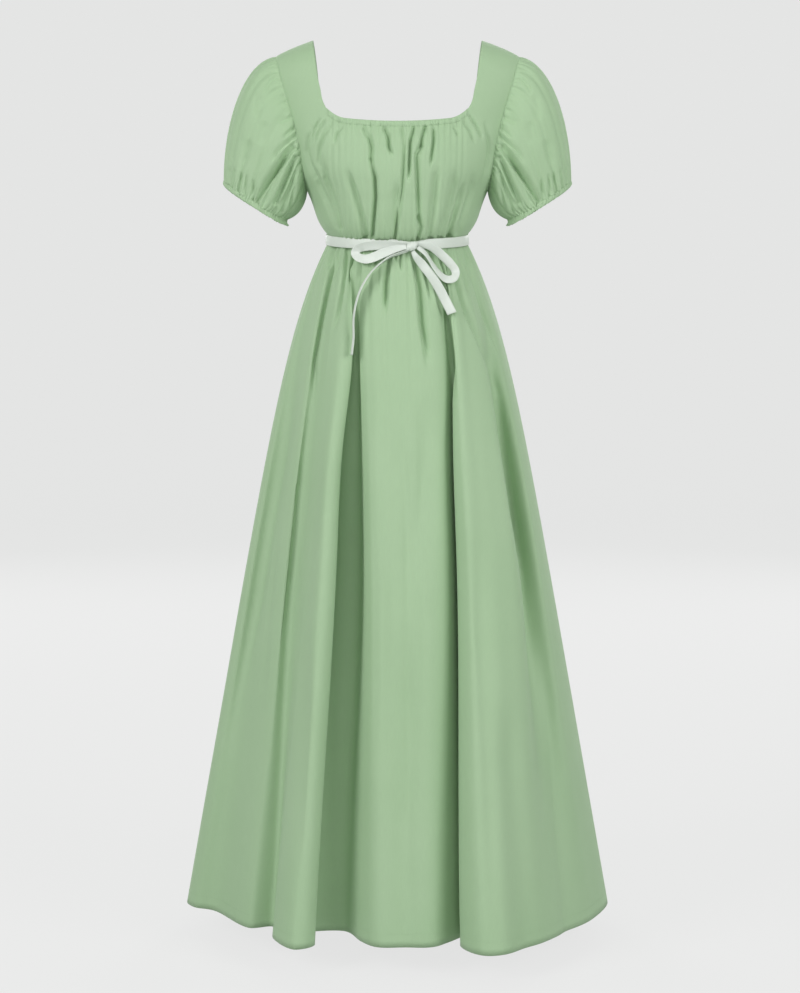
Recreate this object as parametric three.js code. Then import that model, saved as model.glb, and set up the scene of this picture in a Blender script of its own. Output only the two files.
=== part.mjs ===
// Empire-line maxi dress with short puff sleeves, worn by nobody: hollow cloth that keeps its worn shape.
// Millimetres, +Z up. The front faces -Y, and +X is on the right of a viewer who looks at the front.
// Left and right in the names are the viewer's. The origin lies midway between the two shoulder straps,
// at the height of their undersides, where the wearer carries the dress.
import * as THREE from "three";

// Driving dimensions
const CLOTH = 1.6; // thickness of the dress cloth's wall
const RIBBON = 1.0; // thickness of the satin ribbon
const HALF_SEAM = 0.15; // half the gap between two pieces at a seam
const ARMHOLE_GAP = 0.4;
const CUFF_GAP = 0.3;

const SHOULDER = { neckX: 133, neckZ: 14, tipX: 192, tipZ: -11, roundOver: 55 };
const UNDERARM_Z = -222;
const WAIST = { halfWidth: 112, front: 100, back: 90, sideZ: -297, dip: 10, dipReach: 60 };
const SASH = { height: 16, clearance: 0.6, under: 0.5, columns: 56 };
const HEM_Z = -1375;

// Horizontal sections of the bodice. armX is where the armhole seam crosses that height.
const SECTIONS = [
  { z: -311, halfWidth: 112, front: 100, back: 90, armX: 112 },
  { z: -287, halfWidth: 112.1, front: 100.1, back: 90.1, armX: 112 },
  { z: -280, halfWidth: 117, front: 107, back: 94, armX: 117 },
  { z: -265, halfWidth: 126, front: 115, back: 99, armX: 126 },
  { z: -241, halfWidth: 135, front: 122, back: 104, armX: 135 },
  { z: -222, halfWidth: 143, front: 125, back: 107, armX: 143 },
  { z: -197, halfWidth: 158, front: 126, back: 110, armX: 147 },
  { z: -155, halfWidth: 173, front: 120, back: 112, armX: 153 },
  { z: -109, halfWidth: 190, front: 102, back: 108, armX: 164 },
  { z: -59, halfWidth: 206, front: 90, back: 98, armX: 179.5 },
  { z: -11, halfWidth: 218, front: 82, back: 86, armX: 192 },
  { z: 14, halfWidth: 222, front: 80, back: 84, armX: 200 },
];

// The neckline: a shallow curve across, a rounded corner, then the strap's edge. It is wider behind by backSpread.
const NECKLINE = { midZ: -118, sweep: 5, sweepX: 80, cornerX: 107, cornerRise: 10, backSpread: 6 };
const STRAP_EDGE = [
  { z: -103, x: 107 },
  { z: -83, x: 116.6 },
  { z: -68, x: 119.5 },
  { z: -52, x: 123 },
  { z: -29, x: 126.5 },
  { z: 14, x: 133 },
];
const CASING = { clearance: 0.3, thickness: 1.0 };

// Rows of a bodice panel, as shares of the height, and columns beside the gathered middle
const PANEL_SHARES = [0, 0.046, 0.13, 0.27, 0.43, 0.59, 0.76, 0.955, 1];
const SIDE_SHARES = [0, 0.11, 0.5, 1];
const ARM_ROWS = 12;
const STRAP_ROWS = 7;
const SIDE_COLUMNS = 5;
const FOOT_ANGLE = 52; // degrees round the waist from the middle to the foot of the neck corner's column

// Gathers across a bodice panel, from -1 at one neck corner to 1 at the other. at is the place at the neckline,
// foot the place at the waist. neck, bust and waist are depths in mm at the three heights.
const GATHER_HALF_WIDTH = 0.023;
const BUST_SHARE = 0.45; // share of the panel's height where a gather has its bust depth
const WAIST_SEAM_SHARE = 0.4; // share of its depth that a gather keeps in the waist seam itself
const FRONT_GATHERS = [
  { at: -0.95, foot: -0.93, neck: 1.2, bust: 1.8, waist: 1.8 },
  { at: -0.86, foot: -0.82, neck: 2.0, bust: 1.0, waist: 1.4 },
  { at: -0.76, foot: -0.72, neck: 1.8, bust: 0.6, waist: 1.8 },
  { at: -0.67, foot: -0.63, neck: 1.4, bust: 0.5, waist: 1.2 },
  { at: -0.58, foot: -0.54, neck: 1.8, bust: 0.6, waist: 1.4 },
  { at: -0.48, foot: -0.45, neck: 1.4, bust: 1.4, waist: 2.2 },
  { at: -0.385, foot: -0.36, neck: 1.8, bust: 0.8, waist: 1.2 },
  { at: -0.29, foot: -0.27, neck: 2.2, bust: 2.4, waist: 2.2 },
  { at: -0.2, foot: -0.185, neck: 1.6, bust: 1.0, waist: 1.4 },
  { at: -0.11, foot: -0.105, neck: 2.2, bust: 1.8, waist: 1.8 },
  { at: -0.02, foot: -0.025, neck: 1.8, bust: 1.2, waist: 2.2 },
  { at: 0.065, foot: 0.05, neck: 2.0, bust: 2.2, waist: 2.2 },
  { at: 0.145, foot: 0.13, neck: 1.8, bust: 2.0, waist: 1.2 },
  { at: 0.235, foot: 0.215, neck: 2.2, bust: 2.2, waist: 2.2 },
  { at: 0.325, foot: 0.3, neck: 1.6, bust: 0.8, waist: 1.2 },
  { at: 0.415, foot: 0.385, neck: 2.0, bust: 1.8, waist: 2.2 },
  { at: 0.51, foot: 0.475, neck: 1.6, bust: 0.8, waist: 1.4 },
  { at: 0.6, foot: 0.565, neck: 1.8, bust: 0.6, waist: 2.0 },
  { at: 0.69, foot: 0.655, neck: 1.4, bust: 0.6, waist: 1.4 },
  { at: 0.78, foot: 0.745, neck: 2.0, bust: 0.8, waist: 2.0 },
  { at: 0.87, foot: 0.835, neck: 1.6, bust: 1.2, waist: 1.4 },
  { at: 0.95, foot: 0.93, neck: 1.2, bust: 1.8, waist: 1.8 },
];
const BACK_GATHERS = [
  { at: -0.86, foot: -0.84, neck: 1.6, bust: 1.0, waist: 2.0 },
  { at: -0.62, foot: -0.6, neck: 2.0, bust: 0.8, waist: 1.8 },
  { at: -0.4, foot: -0.41, neck: 1.8, bust: 1.2, waist: 2.2 },
  { at: -0.2, foot: -0.18, neck: 2.0, bust: 1.0, waist: 2.0 },
  { at: 0.02, foot: 0.03, neck: 2.0, bust: 1.4, waist: 2.2 },
  { at: 0.22, foot: 0.21, neck: 1.8, bust: 0.8, waist: 1.8 },
  { at: 0.42, foot: 0.44, neck: 2.0, bust: 1.2, waist: 2.2 },
  { at: 0.63, foot: 0.62, neck: 1.8, bust: 0.8, waist: 2.0 },
  { at: 0.87, foot: 0.85, neck: 1.6, bust: 1.0, waist: 2.0 },
];

// Folds of the skirt, once round from the left seam over the front. deg is the place on the waist, 0 in front.
// hemX and hemY are the fold's place at the hem. A fold runs straight down between them, but for shiftX and
// shiftY, which move it at the height of the knee. columns lead on to the next row.
const SKIRT_FOLDS = [
  { name: "left seam", deg: -90, hemX: -344, hemY: 20, shiftX: 0, shiftY: 0, columns: 2 },
  { name: "left edge", deg: -82, hemX: -330, hemY: -24, shiftX: 0, shiftY: 0, columns: 2 },
  { name: "left valley", deg: -74, hemX: -292, hemY: -50, shiftX: 0, shiftY: 6, columns: 3 },
  { name: "left ridge", deg: -65, hemX: -236, hemY: -146, shiftX: 0, shiftY: -4, columns: 3 },
  { name: "second valley", deg: -57, hemX: -196, hemY: -140, shiftX: 0, shiftY: 8, columns: 3 },
  { name: "left lobe edge", deg: -51, hemX: -192, hemY: -206, shiftX: 4, shiftY: -4, columns: 3 },
  { name: "left lobe", deg: -46, hemX: -158, hemY: -268, shiftX: 6, shiftY: -2, columns: 2 },
  { name: "left lobe lip", deg: -42, hemX: -126, hemY: -240, shiftX: 10, shiftY: -2, columns: 2 },
  { name: "left undercut", deg: -38.5, hemX: -146, hemY: -178, shiftX: 14, shiftY: 30, columns: 2 },
  { name: "left recess", deg: -35, hemX: -106, hemY: -170, shiftX: 26, shiftY: 32, columns: 2 },
  { name: "centre left lip", deg: -31, hemX: -74, hemY: -222, shiftX: 10, shiftY: -2, columns: 3 },
  { name: "centre left", deg: -22, hemX: -39, hemY: -252, shiftX: 4, shiftY: -4, columns: 6 },
  { name: "centre", deg: -3, hemX: 6, hemY: -257, shiftX: 0, shiftY: -4, columns: 6 },
  { name: "centre right", deg: 17, hemX: 52, hemY: -254, shiftX: 8, shiftY: -4, columns: 3 },
  { name: "centre right lip", deg: 27, hemX: 78, hemY: -228, shiftX: 14, shiftY: -2, columns: 2 },
  { name: "right undercut", deg: 31, hemX: 112, hemY: -184, shiftX: 12, shiftY: 26, columns: 2 },
  { name: "right lobe lip", deg: 35, hemX: 96, hemY: -246, shiftX: 9, shiftY: -2, columns: 2 },
  { name: "right lobe", deg: 40, hemX: 124, hemY: -296, shiftX: 6, shiftY: -4, columns: 3 },
  { name: "right panel", deg: 50, hemX: 162, hemY: -294, shiftX: 2, shiftY: -4, columns: 3 },
  { name: "right slope", deg: 60, hemX: 218, hemY: -236, shiftX: 22, shiftY: 0, columns: 3 },
  { name: "right valley", deg: 68, hemX: 266, hemY: -166, shiftX: -8, shiftY: 36, columns: 3 },
  { name: "right ridge", deg: 76, hemX: 312, hemY: -92, shiftX: 2, shiftY: -22, columns: 4 },
  { name: "right seam", deg: 90, hemX: 344, hemY: 12, shiftX: 0, shiftY: 0, columns: 3 },
  { name: "back right ridge", deg: 101, hemX: 322, hemY: 104, shiftX: 0, shiftY: 6, columns: 3 },
  { name: "back right valley", deg: 112, hemX: 262, hemY: 122, shiftX: -2, shiftY: -10, columns: 3 },
  { name: "back right lobe", deg: 124, hemX: 222, hemY: 206, shiftX: 0, shiftY: 6, columns: 3 },
  { name: "back right hollow", deg: 137, hemX: 158, hemY: 186, shiftX: 0, shiftY: -6, columns: 3 },
  { name: "back middle right", deg: 152, hemX: 104, hemY: 250, shiftX: 0, shiftY: 4, columns: 3 },
  { name: "back middle hollow", deg: 168, hemX: 42, hemY: 214, shiftX: 4, shiftY: -8, columns: 3 },
  { name: "back middle", deg: 183, hemX: -14, hemY: 258, shiftX: 0, shiftY: 6, columns: 3 },
  { name: "back left hollow", deg: 200, hemX: -76, hemY: 208, shiftX: -4, shiftY: -8, columns: 3 },
  { name: "back left lobe", deg: 215, hemX: -146, hemY: 242, shiftX: 0, shiftY: 6, columns: 3 },
  { name: "back left slope", deg: 231, hemX: -204, hemY: 168, shiftX: 4, shiftY: -6, columns: 3 },
  { name: "back left ridge", deg: 246, hemX: -278, hemY: 160, shiftX: -2, shiftY: 4, columns: 3 },
  { name: "back left valley", deg: 259, hemX: -312, hemY: 78, shiftX: 2, shiftY: -8, columns: 3 },
];
const SKIRT_SHARES = [0, 0.018, 0.05, 0.095, 0.155, 0.235, 0.34, 0.46, 0.6, 0.74, 0.87, 1];
const FLARE = { straight: 0.833, spring: 0.179, reach: 0.115 }; // the spring is the gathers' push below the sash
const KNEE = 0.46; // share of the skirt's height at which shiftX and shiftY are full

// Gathers under the sash, one at every third column, with these depths and reaches taken in turn. A gather starts
// shallow at the sash, is full after rise, and is shallower where the columns are closer than fullSpacing.
const SKIRT_GATHERS = [
  { depth: 2.4, reach: 0.1 },
  { depth: 4.0, reach: 0.3 },
  { depth: 2.8, reach: 0.14 },
  { depth: 4.6, reach: 0.38 },
  { depth: 3.0, reach: 0.18 },
];
const GATHER_START = { underSash: 0.6, depthShare: 0.3, rise: 0.03, fullSpacing: 5, fade: 1.3 };

// Right sleeve; the left one mirrors it. The cuff is an ellipse between an outer and an inner end.
const CUFF = {
  outerX: 277, outerZ: -208, innerX: 176, innerZ: -269, halfDepth: 47, frontDrop: 5, height: 10, drawnIn: 0.08,
};
const CUFF_SHARES = [0, 0.3, 1];
// The puff's handles: how far the cloth leaves the armhole outwards, down and forwards, and how it comes back
const PUFF = { topOut: 53, topDrop: 6, underOut: 2, underDrop: 18, sideLift: 6, forward: 20 };
const PUFF_END = { topRise: 85, underRise: 7, topOut: 1, underTuck: 20.6, sideTuck: 14, forward: 14 };
const SLEEVE_SHARES = [0, 0.04, 0.12, 0.26, 0.44, 0.62, 0.78, 0.91, 1];
// Shares of the sleeve's length where its gathers have the depths of the table, and their depth at the cuff's seam
const SLEEVE_GATHER_AT = { cap: 0.12, middle: 0.44, cuff: 0.91, endDepth: 0.8 };
// Depths of the sleeve's gathers, once round from the underarm over the front, at every third column
const SLEEVE_GATHERS = [
  { name: "underarm", cap: 1.0, middle: 1.2, cuff: 1.8 },
  { name: "underarm front", cap: 1.6, middle: 2.6, cuff: 2.2 },
  { name: "front fold", cap: 2.4, middle: 4.2, cuff: 2.8 },
  { name: "lower front", cap: 3.0, middle: 5.0, cuff: 3.2 },
  { name: "middle front", cap: 2.4, middle: 1.8, cuff: 2.8 },
  { name: "front", cap: 2.6, middle: 1.4, cuff: 2.4 },
  { name: "upper front", cap: 2.2, middle: 1.0, cuff: 2.2 },
  { name: "top front", cap: 2.8, middle: 1.8, cuff: 2.6 },
  { name: "top", cap: 1.6, middle: 0.6, cuff: 2.0 },
  { name: "top back", cap: 2.4, middle: 0.8, cuff: 2.2 },
  { name: "upper back", cap: 2.8, middle: 1.6, cuff: 2.4 },
  { name: "back", cap: 2.2, middle: 1.0, cuff: 2.2 },
  { name: "middle back", cap: 2.6, middle: 1.4, cuff: 2.8 },
  { name: "back fold", cap: 2.4, middle: 2.4, cuff: 2.4 },
  { name: "lower back", cap: 2.6, middle: 3.6, cuff: 3.0 },
  { name: "underarm back", cap: 1.6, middle: 2.0, cuff: 2.4 },
];

// The bow. proud is the distance from the sash or skirt to the ribbon's nearer edge, turn the angle in degrees of
// the ribbon's width to the picture plane, lean its angle to the horizontal seen from the front.
const KNOT = { x: 22, z: -310, halfWidth: 7.5, halfHeight: 6.5, halfDepth: 4 };
const LOOP_LEFT = [
  { x: 13.6, z: -308.6, proud: 1.0, width: 6, turn: 20, lean: 88 },
  { x: 4, z: -308.2, proud: 1.0, width: 10, turn: 16, lean: 90 },
  { x: -14, z: -308, proud: 1.0, width: 14, turn: 14, lean: 90 },
  { x: -34, z: -308.4, proud: 1.2, width: 15, turn: 14, lean: 92 },
  { x: -50, z: -310, proud: 1.4, width: 15, turn: 16, lean: 106 },
  { x: -61, z: -314, proud: 1.8, width: 14.5, turn: 20, lean: 140 },
  { x: -65.5, z: -320.5, proud: 2.4, width: 14, turn: 22, lean: 182 },
  { x: -60, z: -327, proud: 3.2, width: 14, turn: 20, lean: 232 },
  { x: -48, z: -329.6, proud: 4.2, width: 14.5, turn: 16, lean: 266 },
  { x: -36, z: -326.4, proud: 5.2, width: 15, turn: 14, lean: 286 },
  { x: -21, z: -320, proud: 6.2, width: 14.5, turn: 12, lean: 291 },
  { x: -5, z: -314.6, proud: 6.4, width: 11.5, turn: 12, lean: 288 },
  { x: 7, z: -312, proud: 6, width: 8.5, turn: 14, lean: 282 },
  { x: 13.6, z: -311.2, proud: 5, width: 6, turn: 16, lean: 276 },
];
const LOOP_RIGHT = [
  { x: 30, z: -307.6, proud: 1.6, width: 6, turn: 20, lean: 88 },
  { x: 39, z: -307.6, proud: 2.0, width: 10, turn: 18, lean: 78 },
  { x: 54, z: -311.4, proud: 2.6, width: 13.5, turn: 16, lean: 58 },
  { x: 69, z: -323.5, proud: 3.0, width: 14, turn: 16, lean: 46 },
  { x: 82, z: -336.5, proud: 3.4, width: 14, turn: 18, lean: 36 },
  { x: 90, z: -348.5, proud: 4.0, width: 13.5, turn: 20, lean: 6 },
  { x: 87, z: -359, proud: 4.2, width: 13, turn: 22, lean: -62 },
  { x: 76, z: -360.5, proud: 4.0, width: 13, turn: 30, lean: -108 },
  { x: 65.5, z: -352.5, proud: 3.4, width: 13, turn: 50, lean: -132 },
  { x: 55.5, z: -339.5, proud: 3.0, width: 13, turn: 62, lean: -144 },
  { x: 46.5, z: -325, proud: 3.0, width: 11, turn: 60, lean: -145 },
  { x: 38.5, z: -316.5, proud: 4.0, width: 8.5, turn: 36, lean: -140 },
  { x: 31, z: -311.6, proud: 5.4, width: 6, turn: 16, lean: -128 },
];
const TAIL_LEFT = [
  { x: 17.6, z: -316.0, proud: 2.6, width: 5, turn: 50, lean: 70 },
  { x: 5, z: -320, proud: 2, width: 8, turn: 62, lean: 70 },
  { x: -13, z: -327, proud: 2, width: 10, turn: 72, lean: 62 },
  { x: -27, z: -337, proud: 2, width: 13, turn: 76, lean: 50 },
  { x: -39, z: -348, proud: 2, width: 15.5, turn: 78, lean: 40 },
  { x: -50, z: -363, proud: 2, width: 15.5, turn: 80, lean: 30 },
  { x: -59, z: -381, proud: 2, width: 15.5, turn: 82, lean: 20 },
  { x: -65, z: -402, proud: 2, width: 15.5, turn: 84, lean: 10 },
  { x: -68, z: -424, proud: 2, width: 15.5, turn: 84, lean: 5 },
  { x: -68, z: -450, proud: 2, width: 15.5, turn: 82, lean: 4 },
  { x: -71, z: -477, proud: 2, width: 15.5, turn: 80, lean: 4 },
];
const TAIL_RIGHT = [
  { x: 23.5, z: -317.6, proud: 3, width: 6, turn: 14, lean: 30 },
  { x: 28.5, z: -326, proud: 3, width: 10, turn: 16, lean: 36 },
  { x: 38, z: -337.5, proud: 3.2, width: 14, turn: 16, lean: 38 },
  { x: 49.5, z: -352, proud: 3.6, width: 14.5, turn: 16, lean: 36 },
  { x: 61, z: -369, proud: 3.4, width: 15, turn: 16, lean: 30 },
  { x: 72.5, z: -390, proud: 3.0, width: 15.5, turn: 18, lean: 26 },
  { x: 84.3, z: -413.5, proud: 2.8, width: 15.5, turn: 20, lean: 25 },
];
const TAIL_CLEARANCE = 12; // a ribbon keeps in front of all the cloth this near to its middle line
const KNOT_GAP = 0.4;

const clothMaterial = new THREE.MeshStandardMaterial({ color: "#a9c4a1", roughness: 0.72, metalness: 0 });
const ribbonMaterial = new THREE.MeshStandardMaterial({ color: "#dbe0da", roughness: 0.42, metalness: 0 });

const { lerp, clamp, degToRad } = THREE.MathUtils;

// A smooth curve through a short table that never overshoots its values
function curveThrough(keys, values) {
  const last = keys.length - 1;
  const slopes = [];
  for (let i = 0; i < last; i += 1) {
    slopes.push((values[i + 1] - values[i]) / (keys[i + 1] - keys[i]));
  }
  const tangents = keys.map((_, i) => {
    const before = slopes[Math.max(i - 1, 0)];
    const after = slopes[Math.min(i, last - 1)];
    return before * after <= 0 ? 0 : (2 * before * after) / (before + after);
  });
  return (key) => {
    const after = keys.findIndex((k) => k > key);
    const i = clamp(after < 0 ? last - 1 : after - 1, 0, last - 1);
    const span = keys[i + 1] - keys[i];
    const t = clamp((key - keys[i]) / span, 0, 1);
    const start = values[i] * (1 + 2 * t) * (1 - t) ** 2 + tangents[i] * span * t * (1 - t) ** 2;
    const end = values[i + 1] * t * t * (3 - 2 * t) + tangents[i + 1] * span * t * t * (t - 1);
    return start + end;
  };
}

function column(table, name) {
  return table.map((row) => row[name]);
}

const sectionCurve = (name) => curveThrough(column(SECTIONS, "z"), column(SECTIONS, name));
const halfWidthAt = sectionCurve("halfWidth");
const frontDepthAt = sectionCurve("front");
const backDepthAt = sectionCurve("back");
const armXAt = sectionCurve("armX");
const strapXAt = curveThrough(column(STRAP_EDGE, "z"), column(STRAP_EDGE, "x"));

// Grids of points. A grid is an array of rows; a cell (r, c) has the corners (r, c) and (r + 1, c + 1).

function cellCorners(r, c, grid, options) {
  const next = options.cyclic ? (c + 1) % grid[0].length : c + 1;
  const corners = [[r, c], [r, next], [r + 1, next], [r + 1, c]];
  return options.turned ? corners.reverse() : corners;
}

function listCells(grid, options) {
  const cells = [];
  const columns = grid[0].length - (options.cyclic ? 0 : 1);
  for (let r = 0; r < grid.length - 1; r += 1) {
    for (let c = 0; c < columns; c += 1) {
      if (!options.has || options.has(r, c)) {
        cells.push(cellCorners(r, c, grid, options));
      }
    }
  }
  return cells;
}

function gridNormals(grid, options) {
  const normals = grid.map((row) => row.map(() => new THREE.Vector3()));
  for (const corners of listCells(grid, options)) {
    const [a, b, c, d] = corners.map(([r, k]) => grid[r][k]);
    const face = c.clone().sub(a).cross(d.clone().sub(b)).normalize();
    corners.forEach(([r, k]) => normals[r][k].add(face));
  }
  normals.forEach((row, r) => row.forEach((normal, c) => {
    if (options.settle) {
      options.settle(normal, r, c);
    }
    normal.normalize();
  }));
  return normals;
}

function moveAlong(grid, normals, distance) {
  return grid.map((row, r) => row.map((point, c) => {
    const amount = typeof distance === "function" ? distance(r, c) : distance;
    return point.clone().addScaledVector(normals[r][c], amount);
  }));
}

// The closed wall between an outer and an inner grid, with a rim along every free edge
function wallGeometry(outer, inner, options) {
  const columns = outer[0].length;
  const layerSize = outer.length * columns;
  const used = new Map();
  const positions = [];
  const triangles = [];
  const vertex = (layer, [r, c]) => {
    const key = layer * layerSize + r * columns + c;
    if (!used.has(key)) {
      used.set(key, positions.length / 3);
      positions.push(...(layer === 0 ? outer : inner)[r][c].toArray());
    }
    return used.get(key);
  };
  const quad = (a, b, c, d) => triangles.push(a, b, c, a, c, d);
  const edges = new Map();
  for (const corners of listCells(outer, options)) {
    const [a, b, c, d] = corners.map((corner) => vertex(0, corner));
    const [e, f, g, h] = corners.map((corner) => vertex(1, corner));
    quad(a, b, c, d);
    triangles.push(e, g, f, e, h, g);
    corners.forEach((corner, i) => {
      const following = corners[(i + 1) % 4];
      edges.set(`${corner}|${following}`, [corner, following]);
    });
  }
  for (const [from, to] of edges.values()) {
    if (!edges.has(`${to}|${from}`)) {
      quad(vertex(0, to), vertex(0, from), vertex(1, from), vertex(1, to));
    }
  }
  const geometry = new THREE.BufferGeometry();
  geometry.setAttribute("position", new THREE.Float32BufferAttribute(positions, 3));
  geometry.setIndex(triangles);
  geometry.computeVertexNormals();
  return geometry;
}

function clothWall(outer, options, thickness = CLOTH) {
  const inner = moveAlong(outer, gridNormals(outer, options), -thickness);
  return wallGeometry(outer, inner, options);
}

// Bodice

// The waist seam dips in front and is level behind
function waistZ(angle, face = Math.cos(angle) > 0 ? -1 : 1) {
  return WAIST.sideZ - (face < 0 ? WAIST.dip * Math.max(Math.cos(angle), 0) : 0);
}

function shoulderZ(x) {
  const share = (x - SHOULDER.neckX) / (SHOULDER.tipX - SHOULDER.neckX);
  return lerp(SHOULDER.neckZ, SHOULDER.tipZ, share);
}

function necklineZ(x) {
  const beyond = clamp((Math.abs(x) - NECKLINE.sweepX) / (NECKLINE.cornerX - NECKLINE.sweepX), 0, 1);
  return NECKLINE.midZ + NECKLINE.sweep * (x / NECKLINE.sweepX) ** 2 + NECKLINE.cornerRise * beyond ** 2;
}

const angleAt = (x, z) => Math.asin(clamp(x / halfWidthAt(z), -1, 1));

// Near the waist the sections follow the dip of its seam
function sectionLevel(face, angle, z) {
  const near = clamp(1 - (z - WAIST.sideZ) / WAIST.dipReach, 0, 1);
  return z + (WAIST.sideZ - waistZ(angle, face)) * near;
}

function bodyPoint(face, { angle, z, below }) {
  const level = sectionLevel(face, angle, z);
  const depth = face < 0 ? frontDepthAt(level) : backDepthAt(level);
  const reach = clamp(below / SHOULDER.roundOver, 0, 1);
  const over = Math.sqrt(1 - (1 - reach) ** 2);
  const y = face * (HALF_SEAM + depth * Math.max(Math.cos(angle), 0) * over);
  return new THREE.Vector3(halfWidthAt(level) * Math.sin(angle), y, z);
}

const NECK_ROW = PANEL_SHARES.length - 1;
const UNDERARM_ROW = SIDE_SHARES.length - 1;
const LAST_ROW = UNDERARM_ROW + ARM_ROWS;

const cornerX = (face) => NECKLINE.cornerX + (face > 0 ? NECKLINE.backSpread : 0);

// A place on the gathered middle of a panel, at and foot running from -1 to 1
function middlePlace(face, at, foot, share) {
  const footAngle = foot * degToRad(FOOT_ANGLE);
  const topX = at * cornerX(face);
  const topZ = necklineZ(topX);
  const z = lerp(waistZ(footAngle, face) + HALF_SEAM, topZ, share);
  const angle = lerp(footAngle, angleAt(topX, topZ), share);
  return { angle, z, below: shoulderZ(Math.abs(topX)) - z };
}

// The column from the waist to the neck corner and on along the strap's inner edge
function neckPlace(face, row) {
  if (row <= NECK_ROW) {
    return middlePlace(face, 1, 1, PANEL_SHARES[row]);
  }
  const share = Math.sin((Math.PI / 2) * ((row - NECK_ROW) / STRAP_ROWS));
  const z = lerp(necklineZ(cornerX(face)), SHOULDER.neckZ, share);
  const x = strapXAt(z) + (cornerX(face) - NECKLINE.cornerX) * (1 - share);
  return { angle: angleAt(x, z), z, below: shoulderZ(x) - z };
}

// The column up the side seam and on along the armhole
function armPlace(row) {
  if (row <= UNDERARM_ROW) {
    const z = lerp(waistZ(Math.PI / 2) + HALF_SEAM, UNDERARM_Z, SIDE_SHARES[row]);
    return { angle: Math.PI / 2, z, below: shoulderZ(SHOULDER.tipX) - z };
  }
  const share = 0.5 - 0.5 * Math.cos((Math.PI * (row - UNDERARM_ROW)) / ARM_ROWS);
  const z = lerp(UNDERARM_Z, SHOULDER.tipZ, share);
  const x = armXAt(z);
  return { angle: angleAt(x, z), z, below: shoulderZ(x) - z };
}

function sidePlace(face, row, share) {
  const near = neckPlace(face, row);
  const far = armPlace(row);
  const place = {
    angle: lerp(near.angle, far.angle, share),
    z: lerp(near.z, far.z, share),
    below: lerp(near.below, far.below, share),
  };
  if (row === 0) {
    place.z = waistZ(place.angle, face) + HALF_SEAM;
  }
  return place;
}

// One half of the columns beside the middle, from the neck corner outwards
function sideColumns(side) {
  const columns = [];
  for (let i = 1; i <= SIDE_COLUMNS; i += 1) {
    columns.push({ side, share: i / SIDE_COLUMNS });
  }
  return columns;
}

function panelColumns(gathers) {
  const middle = [{ at: -1, foot: -1 }];
  for (const gather of gathers) {
    for (const step of [-1, 0, 1]) {
      const shift = step * GATHER_HALF_WIDTH;
      middle.push({ at: gather.at + shift, foot: gather.foot + shift, gather: step === 0 ? gather : null });
    }
  }
  middle.push({ at: 1, foot: 1 });
  return [...sideColumns(-1).reverse(), ...middle, ...sideColumns(1)];
}

function gatherDepth(gather, row) {
  const share = PANEL_SHARES[Math.min(row, NECK_ROW)];
  const depth = share < BUST_SHARE
    ? lerp(gather.waist, gather.bust, share / BUST_SHARE)
    : lerp(gather.bust, gather.neck, (share - BUST_SHARE) / (1 - BUST_SHARE));
  return row === 0 ? depth * WAIST_SEAM_SHARE : depth;
}

function bodicePanel(face, gathers) {
  const columns = panelColumns(gathers);
  const first = SIDE_COLUMNS;
  const last = columns.length - 1 - SIDE_COLUMNS;
  const base = [];
  for (let row = 0; row <= LAST_ROW; row += 1) {
    base.push(columns.map(({ side, share, at, foot }) => {
      if (side) {
        const place = sidePlace(face, row, share);
        return bodyPoint(face, { ...place, angle: place.angle * side });
      }
      if (Math.abs(at) === 1) {
        const place = neckPlace(face, row);
        return bodyPoint(face, { ...place, angle: place.angle * at });
      }
      return bodyPoint(face, middlePlace(face, at, foot, PANEL_SHARES[Math.min(row, NECK_ROW)]));
    }));
  }
  const options = {
    turned: face > 0,
    has: (r, c) => r < NECK_ROW || c < first || c >= last,
    settle: (normal, r, c) => {
      if (r === 0) {
        normal.z = 0;
      }
      if (r === LAST_ROW || ((c === 0 || c === columns.length - 1) && r <= UNDERARM_ROW)) {
        normal.y = 0;
      }
    },
  };
  const depthAt = (r, c) => (columns[c].gather && r <= NECK_ROW ? -gatherDepth(columns[c].gather, r) : 0);
  const outer = moveAlong(base, gridNormals(base, options), depthAt);
  return { outer, normals: gridNormals(outer, options), options, first, last };
}

// The elastic casing along the neckline, made from the panel's points, moved out
function neckCasing(panel) {
  const rows = [NECK_ROW - 1, NECK_ROW];
  const distance = CASING.clearance + CASING.thickness;
  const strip = rows.map((r) => {
    const points = [];
    for (let c = panel.first; c <= panel.last; c += 1) {
      points.push(panel.outer[r][c].clone().addScaledVector(panel.normals[r][c], distance));
    }
    return points;
  });
  return clothWall(strip, { turned: panel.options.turned }, CASING.thickness);
}

// Sleeves

// The armhole's edge on the right side of a panel, from the underarm to the shoulder, with a point between rows
function armholeEdge(panel) {
  const edge = [];
  const c = panel.outer[0].length - 1;
  for (let row = UNDERARM_ROW; row <= LAST_ROW; row += 1) {
    const point = panel.outer[row][c];
    const normal = panel.normals[row][c];
    const below = panel.outer[Math.max(row - 1, UNDERARM_ROW)][c];
    const above = panel.outer[Math.min(row + 1, LAST_ROW)][c];
    const away = above.clone().sub(below).cross(normal).normalize();
    if (away.dot(point.clone().sub(panel.outer[row][c - 1])) < 0) {
      away.negate();
    }
    edge.push(point.clone().addScaledVector(away, ARMHOLE_GAP));
  }
  const full = [];
  edge.forEach((point, i) => {
    if (i > 0) {
      full.push(edge[i - 1].clone().lerp(point, 0.5));
    }
    full.push(point);
  });
  return full;
}

function armholeRing(front, back) {
  const up = armholeEdge(front);
  const down = armholeEdge(back).reverse();
  const top = up[up.length - 1].clone().lerp(down[0], 0.5);
  const bottom = up[0].clone().lerp(down[down.length - 1], 0.5);
  return [bottom, ...up.slice(1, -1), top, ...down.slice(1, -1)];
}

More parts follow.
